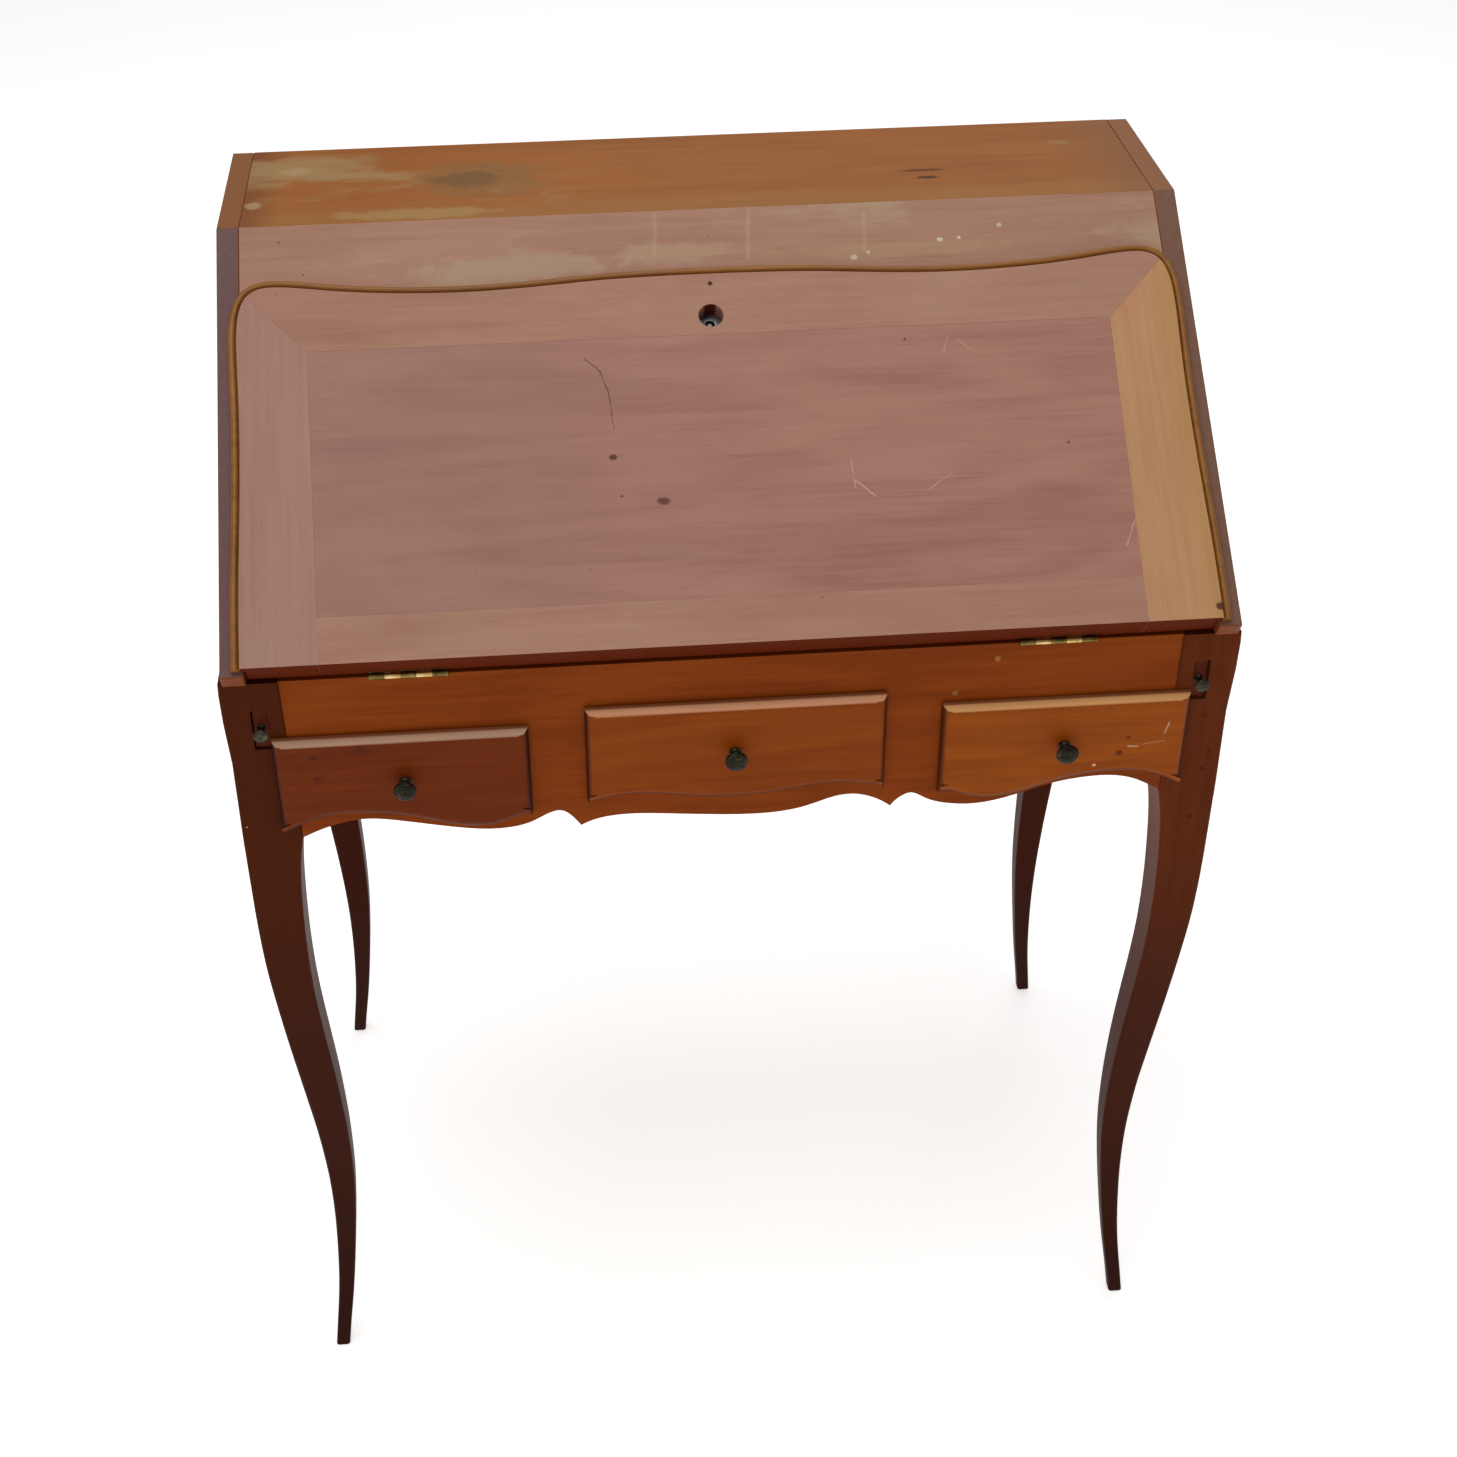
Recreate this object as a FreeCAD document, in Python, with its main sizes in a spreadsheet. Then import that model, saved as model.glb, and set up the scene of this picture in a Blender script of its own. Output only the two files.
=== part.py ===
import FreeCAD, Part
import Sketcher
import math
import os

# Slant-front secretary desk on four cabriole legs: fall front with a lipped,
# serpentine edge, three overlay drawers, two slide-out lopers and a small
# gallery inside.  Units are millimetres.  +Z up, the front faces -Y, the
# origin is the centre of the footprint box at floor level.

V = FreeCAD.Vector
doc = FreeCAD.newDocument("SecretaryDesk")

# ---------------------------------------------------------------- sheet ----
sheet = doc.addObject("Spreadsheet::Sheet", "Params")
VALUES = [
    ("case_half_width", 390.0), ("case_depth", 458.3), ("case_height", 999.4),
    ("top_depth", 165.9), ("bed_height", 755.0), ("back_plane", 239.9),
    ("panel_thick", 18.0), ("apron_thick", 16.0), ("rail_thick", 20.0),
    ("bed_thick", 18.0), ("back_thick", 7.0), ("back_rail_thick", 18.0),
    ("nose_forward", 11.6), ("nose_height", 767.7),
    ("fall_body_thick", 17.1), ("fall_lip_thick", 7.7), ("fall_lip_gap", 0.3),
    ("fall_half_width", 370.5), ("fall_top_edge", 72.5), ("fall_bottom_edge", 377.9),
    ("hinge_axis_s", 380.7), ("fascia_edge", 71.5), ("moulding_thick", 6.9),
    ("moulding_wide", 7.5), ("keyhole_radius", 10.0), ("keyhole_s", 101.0),
    ("hinge_length", 60.0), ("hinge_width", 18.0), ("hinge_leaf", 1.5),
    ("barrel_radius", 2.5), ("hinge_pin_radius", 1.2), ("hinge_centre", 250.0),
    ("screw_shank_radius", 1.4), ("screw_head_radius", 2.75), ("screw_length", 12.0),
    ("overlay_thick", 7.8), ("overlay_gap", 0.9), ("front_block_thick", 12.0),
    ("drawer_side_thick", 10.0), ("drawer_bottom_thick", 5.0), ("drawer_box_length", 340.0),
    ("outer_open_low", 634.5), ("outer_open_high", 697.0),
    ("middle_open_low", 640.5), ("middle_open_high", 709.0),
    ("outer_front_top", 703.5), ("middle_front_top", 717.0),
    ("outer_box_inner", 170.0), ("outer_box_outer", 341.5), ("middle_box_half", 111.5),
    ("opening_inner", 168.0), ("middle_opening_half", 113.0),
    ("knob_radius", 9.0), ("knob_length", 15.2), ("loper_knob_radius", 5.75),
    ("loper_knob_length", 13.5), ("shank_radius", 2.0),
    ("loper_wide", 12.0), ("loper_low", 693.3), ("loper_high", 729.55),
    ("loper_length", 400.0), ("loper_centre", 366.0), ("loper_recess", 3.0),
    ("slot_wide", 13.0), ("slot_low", 693.0), ("slot_high", 730.5),
    ("stop_pin_radius", 3.0), ("shelf_height", 862.0), ("shelf_thick", 12.0),
    ("shelf_depth", 140.0), ("divider_thick", 9.0), ("divider_half_spacing", 124.0),
    ("lock_half_width", 28.0), ("lock_depth", 40.0), ("lock_thick", 8.0),
    ("lock_wall", 1.5), ("bolt_half_width", 9.0), ("bolt_thick", 4.6), ("bolt_length", 22.0),
    ("strike_half_width", 22.0), ("strike_thick", 1.2), ("leg_blank", 700.0),
]
P = {}
for i, (name, value) in enumerate(VALUES, start=1):
    sheet.set("A%d" % i, name)
    sheet.set("B%d" % i, repr(value))
    sheet.setAlias("B%d" % i, name)
    P[name] = value
doc.recompute()

W = P["case_half_width"]
YB = P["back_plane"]
YF = YB - P["case_depth"]
HT = P["case_height"]
ZB = P["bed_height"]
TY = YB - P["top_depth"]

NODES = []


def ex(text):
    return text.replace("@", "Params.")


def bind(obj, prop, value):
    """Bind a property to the sheet when value is text, else set the number."""
    if isinstance(value, str):
        obj.setExpression(prop, ex(value))
    elif prop.startswith("Placement.Base."):
        base = obj.Placement.Base
        setattr(base, prop[-1], float(value))
        obj.Placement = FreeCAD.Placement(base, obj.Placement.Rotation)
    else:
        setattr(obj, prop, float(value))


def box(name, x, y, z, dx, dy, dz, place=None):
    o = doc.addObject("Part::Box", name)
    bind(o, "Length", dx)
    bind(o, "Width", dy)
    bind(o, "Height", dz)
    if place is None:
        for axis, value in zip("xyz", (x, y, z)):
            bind(o, "Placement.Base." + axis, value)
    else:
        o.Placement = place.multiply(FreeCAD.Placement(V(x, y, z), FreeCAD.Rotation()))
    return o


def cyl(name, base, direction, radius, height, place=None):
    o = doc.addObject("Part::Cylinder", name)
    bind(o, "Radius", radius)
    bind(o, "Height", height)
    pl = FreeCAD.Placement(V(*base), FreeCAD.Rotation(V(0, 0, 1), V(*direction)))
    o.Placement = pl if place is None else place.multiply(pl)
    return o


def cut(name, base, tool):
    o = doc.addObject("Part::Cut", name)
    o.Base = base
    o.Tool = tool
    return o


def fuse(name, shapes):
    if len(shapes) == 1:
        return shapes[0]
    o = doc.addObject("Part::MultiFuse", name)
    o.Shapes = shapes
    return o


def common(name, base, tool):
    o = doc.addObject("Part::Common", name)
    o.Base = base
    o.Tool = tool
    return o


def node(obj, label):
    obj.Label = label
    NODES.append(obj)
    return obj


def plane(body, role):
    for f in body.Origin.OriginFeatures:
        if f.Role == role:
            return f
    raise RuntimeError("no plane " + role)


def sketch_wires(sk, wires):
    """Each wire is a list of ('L', p, q) lines, ('S', [p...]) splines or
    ('C', centre, radius) circles, end to end."""
    for wire in wires:
        first = sk.GeometryCount
        for seg in wire:
            if seg[0] == "L":
                sk.addGeometry(Part.LineSegment(V(seg[1][0], seg[1][1], 0), V(seg[2][0], seg[2][1], 0)), False)
            elif seg[0] == "C":
                sk.addGeometry(Part.Circle(V(seg[1][0], seg[1][1], 0), V(0, 0, 1), seg[2]), False)
            else:
                curve = Part.BSplineCurve()
                curve.interpolate([V(q[0], q[1], 0) for q in seg[1]])
                sk.addGeometry(curve, False)
        n = sk.GeometryCount - first
        if n > 1:
            for k in range(n):
                sk.addConstraint(Sketcher.Constraint("Coincident", first + k, 2, first + (k + 1) % n, 1))


def poly(points):
    return [("L", points[i], points[(i + 1) % len(points)]) for i in range(len(points))]


def padded(name, role, wires, length, reverse=False, midplane=False, place=None):
    """A PartDesign body with one sketch on an origin plane and one pad."""
    body = doc.addObject("PartDesign::Body", name)
    sk = body.newObject("Sketcher::SketchObject", name + "_sketch")
    sk.AttachmentSupport = [(plane(body, role), "")]
    sk.MapMode = "FlatFace"
    sketch_wires(sk, wires)
    pad = body.newObject("PartDesign::Pad", name + "_pad")
    pad.Profile = sk
    bind(pad, "Length", length)
    pad.Reversed = reverse
    pad.Midplane = midplane
    body.Tip = pad
    if place is not None:
        body.Placement = place
    return body


def revolved(name, profile, place):
    """A turned piece: the profile is (radius, height) points about local Z."""
    body = doc.addObject("PartDesign::Body", name)
    sk = body.newObject("Sketcher::SketchObject", name + "_sketch")
    sk.AttachmentSupport = [(plane(body, "XZ_Plane"), "")]
    sk.MapMode = "FlatFace"
    sketch_wires(sk, [profile])
    rev = body.newObject("PartDesign::Revolution", name + "_turn")
    rev.Profile = sk
    rev.ReferenceAxis = (sk, ["V_Axis"])
    rev.Angle = 360.0
    body.Tip = rev
    body.Placement = place
    return body


# ----------------------------------------------------------------- legs ----
# Outward offset of the leg's outer face from the case side, by height.
LEG_G = [(0, -14.4), (29, -17.9), (58, -21.4), (88, -24.0), (117, -25.6), (146, -26.6),
         (175, -26.8), (205, -26.1), (234, -24.4), (263, -22.1), (292, -19.1), (322, -15.8),
         (351, -12.6), (380, -9.5), (409, -6.6), (439, -3.8), (468, -1.5), (497, 0.0),
         (526, 0.9), (556, 1.4), (585, 1.8), (614, 2.0), (643, 1.9), (673, 1.8),
         (702, 2.7), (731, 4.4), (755, 4.0)]
LEG_W = [(0, 12.6), (29, 13.0), (58, 13.8), (88, 15.0), (117, 16.5), (146, 18.3),
         (175, 20.4), (205, 22.6), (234, 24.6), (263, 26.5), (292, 28.4), (322, 30.1),
         (351, 31.3), (380, 32.2), (409, 33.0), (439, 34.1), (468, 35.6), (497, 37.0),
         (526, 38.5), (556, 40.3), (585, 43.6)]
LOW_IN = 606.0
IN_X = {LOW_IN: 344.5, 755.0: 348.6}


def lean(z):
    """The legs stand a little nearer upright in side view."""
    return 9.8 - 0.02 * z if z < 600 else -2.2


def leg_profile(sign, datum, side_view):
    """Closed profile of one leg in (horizontal, z); datum is the case plane
    the outer face follows, sign the outward direction."""
    outer, inner = [], []
    for z, g in LEG_G:
        g = g + (lean(z) if side_view else 0.0)
        outer.append((datum + sign * g, float(z)))
    for (z, w), (_, g) in zip(LEG_W, LEG_G):
        g = g + (lean(z) if side_view else 0.0)
        inner.append((datum + sign * (g - w), float(z)))
    if side_view:
        top_in = datum + sign * -43.6
        low_in = datum + sign * -47.6
    else:
        top_in = sign * IN_X[755.0]
        low_in = sign * IN_X[LOW_IN]
    inner.append((low_in, LOW_IN))
    return [("L", inner[0], outer[0]), ("S", outer), ("L", outer[-1], (top_in, ZB)),
            ("L", (top_in, ZB), (low_in, LOW_IN)), ("S", inner[::-1])]


for fb, fsign, fdat in (("front", -1, YF), ("back", 1, YB)):
    for lr, sx in (("left", -1), ("right", 1)):
        nm = "leg_%s_%s" % (fb, lr)
        a = padded(nm + "_front_view", "XZ_Plane", [leg_profile(sx, sx * W, False)],
                   "@leg_blank", midplane=True)
        b = padded(nm + "_side_view", "YZ_Plane", [leg_profile(fsign, fdat, True)],
                   "@leg_blank*1.4", midplane=True)
        leg = common(nm + "_solid", a, b)
        if fb == "front":
            slot = box(nm + "_slot", "%d*@loper_centre-@slot_wide/2" % sx,
                       YF - 20, "@slot_low", "@slot_wide", 90.0, "@slot_high-@slot_low")
            leg = cut(nm + "_slotted", leg, slot)
        node(leg, nm)

# ------------------------------------------------------------ slope frame ---
A0 = V(0, TY, HT)
S0 = V(0, YF - P["nose_forward"], P["nose_height"])
slope = math.degrees(math.atan2(HT - S0.z, TY - S0.y))
SLOPE = FreeCAD.Placement(A0, FreeCAD.Rotation(V(1, 0, 0), slope))
ca, sa = math.cos(math.radians(slope)), math.sin(math.radians(slope))
# In this frame local X is across, local Y runs up the slope (so a distance s
# down the slope is -s) and local Z stands out from the slope plane.
t = P["panel_thick"]
mitre_s = (t - t * ca) / sa

# ------------------------------------------------------------- upper case ---
for lr, sx in (("left", -1), ("right", 1)):
    pts = [(YB, ZB), (YB, HT), (TY, HT), (S0.y, S0.z), (YF - 4.0, ZB)]
    pl = FreeCAD.Placement(V(sx * W if sx < 0 else W - t, 0, 0), FreeCAD.Rotation())
    node(padded("side_panel_" + lr + "_body", "YZ_Plane", [poly(pts)], "@panel_thick", place=pl),
         "side_panel_" + lr)

my = TY - mitre_s * ca + t * sa
node(padded("top_board_body", "YZ_Plane", [poly([(TY, HT), (YB, HT), (YB, HT - t), (my, HT - t)])],
            "2*(@case_half_width-@panel_thick)", midplane=True), "top_board")

fascia = padded("fascia_body", "YZ_Plane",
                [poly([(0, 0), (-mitre_s, -t), (-P["fascia_edge"], -t), (-P["fascia_edge"], 0)])],
                "2*(@case_half_width-@panel_thick)", midplane=True, place=SLOPE)
strike_cut = box("strike_recess", -P["strike_half_width"], -P["fascia_edge"] - 1, -17.0,
                 "2*@strike_half_width", 1.0 + P["strike_thick"], 10.0, SLOPE)
bolt_cut = box("bolt_mortise", -P["bolt_half_width"] - 0.6, -P["fascia_edge"] - 1, -15.4,
               "2*@bolt_half_width+1.2", 13.0, 6.6, SLOPE)
node(cut("fascia_cut", fascia, fuse("fascia_tools", [strike_cut, bolt_cut])), "slope_fascia")

plate = box("strike_blank", -P["strike_half_width"], -P["fascia_edge"], -17.0,
            "2*@strike_half_width", "@strike_thick", 10.0, SLOPE)
plate_slot = box("strike_slot", -P["bolt_half_width"] - 0.6, -P["fascia_edge"] - 1, -15.4,
                 "2*@bolt_half_width+1.2", 4.0, 6.6, SLOPE)
node(cut("strike_solid", plate, plate_slot), "lock_strike_plate")

node(box("back_panel_box", "-@case_half_width+@panel_thick+0.2", "@back_plane-1-@back_thick",
         "@bed_height", "2*(@case_half_width-@panel_thick)-0.4", "@back_thick",
         "@case_height-@panel_thick-@bed_height"), "back_panel")

# ------------------------------------------------------------- lower case ---
LEFT_ARC = [(-344.5, 606.0), (-334, 611.0), (-320, 616.3), (-297, 620.8), (-265, 616.8), (-226, 608.2),
            (-199, 604.2), (-178, 604.9), (-162, 609.5), (-148, 617.0), (-139.2, 618.4),
            (-133.0, 614.5), (-124.0, 602.6)]
MID_ARC = [(-124.0, 602.6), (-111, 608.2), (-90, 611.2), (-60, 609.9), (-19, 606.0), (12, 604.3),
           (37, 605.3), (59, 610.0), (80, 617.3), (96, 618.5), (111, 613.9), (125.0, 604.6)]
RIGHT_ARC = [(125.0, 604.6), (134.5, 614.3), (140.8, 616.6), (152, 611.2), (167, 605.0), (178, 602.9),
             (198, 602.5), (227, 609.0), (254, 617.8), (280, 622.4), (303, 622.9), (321, 619.0),
             (333, 613.0), (344.5, 606.0)]
rail_wire = [("S", LEFT_ARC), ("S", MID_ARC), ("S", RIGHT_ARC),
             ("L", (344.5, 606.0), (348.6, ZB)), ("L", (348.6, ZB), (-348.6, ZB)),
             ("L", (-348.6, ZB), (-344.5, 606.0))]
rail = padded("front_rail_body", "XZ_Plane", [rail_wire], "@rail_thick", reverse=True,
              place=FreeCAD.Placement(V(0, YF, 0), FreeCAD.Rotation()))
rail_tools = [box("opening_middle", "-@middle_opening_half", YF - 5, "@middle_open_low",
                  "2*@middle_opening_half", 40.0, "@middle_open_high-@middle_open_low")]
for lr, sx in (("left", -1), ("right", 1)):
    x0 = "@opening_inner" if sx > 0 else "-@opening_inner-200"
    rail_tools.append(box("opening_" + lr, x0, YF - 5, "@outer_open_low", 200.0, 40.0,
                          "@outer_open_high-@outer_open_low"))
for lr, sx in (("left", -1), ("right", 1)):
    x0 = sx * P["hinge_centre"] - P["hinge_length"] / 2
    rail_tools.append(box("rail_gain_" + lr, x0 - 0.2, YF - 1, ZB - P["hinge_leaf"],
                          P["hinge_length"] + 0.4, P["hinge_width"] + 1.2, 5.0))
    rail_tools.append(box("rail_barrel_gain_" + lr, x0 - 0.2, YF - 1, ZB - 3.1,
                          P["hinge_length"] + 0.4, 4.1, 8.0))


def screw(name, place):
    """Countersunk wood screw, head face at local z 0, pointing down."""
    r, R, L = P["screw_shank_radius"], P["screw_head_radius"], P["screw_length"]
    return revolved(name, poly([(0, 0), (R, 0), (r, -1.4), (r, -L + 2), (0, -L)]), place)


def hinge_screws(name, place):
    out = []
    for lr, sx in (("left", -1), ("right", 1)):
        for k in (-1, 0, 1):
            x = sx * P["hinge_centre"] + 20.0 * k
            out.append(screw("%s_%s_%d" % (name, lr, k + 2),
                             place.multiply(FreeCAD.Placement(V(x, 11.5, 0), FreeCAD.Rotation()))))
    return fuse(name + "_group", out)


AXIS = FreeCAD.Placement(V(0, YF, ZB), FreeCAD.Rotation())
low_screws = hinge_screws("hinge_screws_lower", AXIS)
rail_cut = cut("front_rail_open", rail, fuse("front_rail_tools", rail_tools))
node(cut("front_rail_drilled", rail_cut, low_screws), "front_rail")
node(low_screws, "hinge_screws_lower")

SIDE_EDGE_HALF = [(0, 604.5), (14, 609.0), (30, 617.0), (46, 618.6), (62, 613.5), (84, 609.5),
                  (108, 614.0), (132, 620.5), (154, 620.3), (172, 613.5)]
for lr, sx in (("left", -1), ("right", 1)):
    yc = (YF + YB) / 2
    y0a, y0b = YF + 47.6, YF + 43.6
    y1a, y1b = YB - 47.6, YB - 43.6
    half = (y1a - y0a) / 2
    right_half = SIDE_EDGE_HALF + [(half, LOW_IN)]
    left_half = [(-a, b) for a, b in right_half][::-1]
    wire = [("S", [(yc + a, b) for a, b in left_half]), ("S", [(yc + a, b) for a, b in right_half]),
            ("L", (y1a, LOW_IN), (y1b, ZB)), ("L", (y1b, ZB), (y0b, ZB)), ("L", (y0b, ZB), (y0a, LOW_IN))]
    pl = FreeCAD.Placement(V(-W if sx < 0 else W - P["apron_thick"], 0, 0), FreeCAD.Rotation())
    node(padded("side_apron_%s_body" % lr, "YZ_Plane", [wire], "@apron_thick", place=pl),
         "side_apron_" + lr)

back_edge = poly([(-348.55, ZB), (-344.6, 612.0), (344.6, 612.0), (348.55, ZB)])
node(padded("back_rail_body", "XZ_Plane", [back_edge], "@back_rail_thick",
            place=FreeCAD.Placement(V(0, YB, 0), FreeCAD.Rotation())), "back_rail")

xi = 347.9
xo = W - P["apron_thick"]
ya, yb_ = YF + P["rail_thick"], YB - P["back_rail_thick"]
bed_pts = [(-xi, ya), (xi, ya), (xi, YF + 48.0), (xo, YF + 48.0), (xo, YB - 48.0), (xi, YB - 48.0),
           (xi, yb_), (-xi, yb_), (-xi, YB - 48.0), (-xo, YB - 48.0), (-xo, YF + 48.0), (-xi, YF + 48.0)]
node(padded("writing_bed_body", "XY_Plane", [poly(bed_pts)], "@bed_thick",
            place=FreeCAD.Placement(V(0, 0, ZB - P["bed_thick"]), FreeCAD.Rotation())), "writing_bed")

oz = P["outer_open_low"] + 1.5
mz = P["middle_open_low"] + 1.5
bearer_len = (YB - P["back_rail_thick"]) - (YF + P["rail_thick"])
for lr, sx in (("left", -1), ("right", 1)):
    mb, ob = P["middle_box_half"], P["outer_box_inner"]
    pts = [(mb - 10.5, 624), (ob + 12, 624), (ob + 12, oz - 0.3), (ob - 0.8, oz - 0.3), (ob - 0.8, 660),
           (mb + 0.8, 660), (mb + 0.8, mz - 0.3), (mb - 10.5, mz - 0.3)]
    pts = [(sx * a, b) for a, b in pts]
    node(padded("drawer_bearer_%s_body" % lr, "XZ_Plane", [poly(pts)], bearer_len, reverse=True,
                place=FreeCAD.Placement(V(0, YF + P["rail_thick"], 0), FreeCAD.Rotation())),
         "drawer_bearer_" + lr)

guide_len = P["case_depth"] - 98.0
zl, zh = P["slot_low"] - 0.3, P["loper_high"] + 0.35
for lr, sx in (("left", -1), ("right", 1)):
    gx = P["outer_box_outer"] + 0.8
    pts = [(331, 624), (xo, 624), (xo, zl), (359.2, zl), (359.2, zh), (xo, zh), (xo, ZB - P["bed_thick"]),
           (gx, ZB - P["bed_thick"]), (gx, oz - 0.3), (331, oz - 0.3)]
    pts = [(sx * a, b) for a, b in pts]
    guide = padded("loper_guide_%s_body" % lr, "XZ_Plane", [poly(pts)], guide_len, reverse=True,
                   place=FreeCAD.Placement(V(0, YF + 49.0, 0), FreeCAD.Rotation()))
    hole = cyl("stop_hole_" + lr, (sx * 340.0, YF + 60.0, 711.5), (sx, 0, 0), "@stop_pin_radius", 25.0)
    node(cut("loper_guide_%s_cut" % lr, guide, hole), "loper_guide_" + lr)
pins = [cyl("stop_pin_" + lr, (sx * 345.0, YF + 60.0, 711.5), (sx, 0, 0), "@stop_pin_radius", 18.3)
        for lr, sx in (("left", -1), ("right", 1))]
node(fuse("loper_stop_pins_group", pins), "loper_stop_pins")

# ---------------------------------------------------------------- gallery ---
gy = YB - 1 - P["back_thick"]
node(box("gallery_shelf_box", "-@case_half_width+@panel_thick+0.1", gy - P["shelf_depth"], "@shelf_height",
         "2*(@case_half_width-@panel_thick)-0.2", "@shelf_depth", "@shelf_thick"), "gallery_shelf")
divs = [box("gallery_divider_" + lr, "%d*@divider_half_spacing-@divider_thick/2" % sx,
            gy - P["shelf_depth"] + 6, "@bed_height", "@divider_thick", "@shelf_depth-6",
            "@shelf_height-@bed_height") for lr, sx in (("left", -1), ("right", 1))]
node(fuse("gallery_dividers_group", divs), "gallery_dividers")

# ------------------------------------------------------------------- fall ---
OUT_HALF = [(381.3, 377.9), (381.5, 345.0), (381.1, 300.0), (379.9, 250.0), (379.4, 205.0), (379.8, 160.0),
            (381.0, 118.0), (380.9, 95.0), (378.3, 76.0), (371.5, 62.0), (359.0, 53.8), (345.0, 52.0),
            (328.0, 53.2), (298.0, 57.3), (262.0, 60.9), (238.0, 62.3), (210.0, 63.2), (182.0, 63.2),
            (155.0, 62.2), (130.0, 60.8), (105.0, 59.0), (82.0, 57.6), (56.0, 56.8), (28.0, 56.3), (0.0, 56.2)]
OUTLINE = [(a, -b) for a, b in OUT_HALF] + [(-a, -b) for a, b in OUT_HALF[:-1][::-1]]


def offset_in(points, d):
    out = []
    n = len(points)
    for i, (x, y) in enumerate(points):
        x0, y0 = points[max(i - 1, 0)]
        x1, y1 = points[min(i + 1, n - 1)]
        tx, ty = x1 - x0, y1 - y0
        ln = math.hypot(tx, ty)
        out.append((x - d * ty / ln, y + d * tx / ln))
    # keep the two ends on the bottom edge line
    out[0] = (out[0][0], points[0][1])
    out[-1] = (out[-1][0], points[-1][1])
    return out


INLINE = offset_in(OUTLINE, P["moulding_wide"])
s_top, s_bot = P["fall_top_edge"], P["fall_bottom_edge"]
board = box("fall_board", "-1*@fall_half_width", 0, 0, "2*@fall_half_width", s_bot - s_top,
            P["fall_body_thick"] + P["fall_lip_gap"])
board.setExpression("Placement.Base.x", None)
board.Placement = SLOPE.multiply(FreeCAD.Placement(V(-P["fall_half_width"], -s_bot, -P["fall_body_thick"]),
                                                   FreeCAD.Rotation()))
face = padded("fall_face", "XY_Plane", [[("S", INLINE), ("L", INLINE[-1], INLINE[0])]], "@fall_lip_thick",
              place=SLOPE.multiply(FreeCAD.Placement(V(0, 0, P["fall_lip_gap"]), FreeCAD.Rotation())))
fall_all = fuse("fall_blank", [board, face])

C0, C1 = (319.0, 117.7), (315.8, 340.4)
MX, MY = 404.0, 28.2


def region(name, pts):
    return padded(name, "XY_Plane", [poly([(a, -b) for a, b in pts])], 60.0, midplane=True, place=SLOPE)


r_centre = region("region_centre", [(-C0[0], C0[1]), (C0[0], C0[1]), (C1[0], C1[1]), (-C1[0], C1[1])])
r_top = region("region_top", [(-C0[0], C0[1]), (C0[0], C0[1]), (MX, MY), (-MX, MY)])
r_bottom = region("region_bottom", [(-C1[0], C1[1]), (C1[0], C1[1]), (C1[0], 400), (-C1[0], 400)])
r_right = region("region_right", [C0, (MX, MY), (430, MY), (430, 400), (C1[0], 400), C1])
r_left = region("region_left", [(-a, b) for a, b in [C0, (MX, MY), (430, MY), (430, 400), (C1[0], 400), C1]])

node(common("fall_centre_solid", fall_all, r_centre), "fall_centre_panel")
node(common("fall_stile_left_solid", fall_all, r_left), "fall_stile_left")
node(common("fall_stile_right_solid", fall_all, r_right), "fall_stile_right")

top_blank = common("fall_top_solid", fall_all, r_top)
ks = P["keyhole_s"]
key_hole = cyl("keyhole_bore", (0, -ks, -20), (0, 0, 1), "@keyhole_radius", 40.0, SLOPE)
lh = P["lock_half_width"]
lock_zone = box("lock_recess", -lh - 0.2, -s_top - P["lock_depth"] - 1.9, -P["fall_body_thick"] - 1,
                2 * lh + 0.4, P["lock_depth"] + 3.0, 1 + P["lock_thick"] + 0.3, SLOPE)
node(cut("fall_top_cut", top_blank, fuse("fall_top_tools", [key_hole, lock_zone])), "fall_top_rail")

bottom_blank = common("fall_bottom_solid", fall_all, r_bottom)
hz = -P["fall_body_thick"]
HAX = SLOPE.multiply(FreeCAD.Placement(V(0, -P["hinge_axis_s"], hz), FreeCAD.Rotation()))
bottom_tools = []
for lr, sx in (("left", -1), ("right", 1)):
    x0 = sx * P["hinge_centre"] - P["hinge_length"] / 2
    bottom_tools.append(box("fall_gain_" + lr, x0 - 0.2, -1, -1, P["hinge_length"] + 0.4,
                            P["hinge_width"] + 1.2, 1 + P["hinge_leaf"], HAX))
    bottom_tools.append(box("fall_barrel_gain_" + lr, x0 - 0.2, -1, -1, P["hinge_length"] + 0.4,
                            4.1, 4.1, HAX))
FLIP = HAX.multiply(FreeCAD.Placement(V(0, 0, 0), FreeCAD.Rotation(V(0, 1, 0), 180)))
up_screws = hinge_screws("hinge_screws_upper", FLIP)
bottom_cut = cut("fall_bottom_cut", bottom_blank, fuse("fall_bottom_tools", bottom_tools))
node(cut("fall_bottom_drilled", bottom_cut, up_screws), "fall_bottom_rail")
node(up_screws, "hinge_screws_upper")

mould = padded("moulding_band", "XY_Plane",
               [[("S", OUTLINE), ("L", OUTLINE[-1], INLINE[-1]), ("S", INLINE[::-1]), ("L", INLINE[0], OUTLINE[0])]],
               "@moulding_thick",
               place=SLOPE.multiply(FreeCAD.Placement(V(0, 0, P["fall_lip_gap"]), FreeCAD.Rotation())))
m_top = region("mould_region_top", [(-C0[0], C0[1]), (C0[0], C0[1]), (MX, MY), (-MX, MY)])
mould_group = doc.addObject("Part::Compound", "moulding_group")
mould_group.Links = [common("moulding_left_solid", mould, r_left), common("moulding_top_solid", mould, m_top),
                     common("moulding_right_solid", mould, r_right)]
node(mould_group, "fall_edge_moulding")

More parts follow.
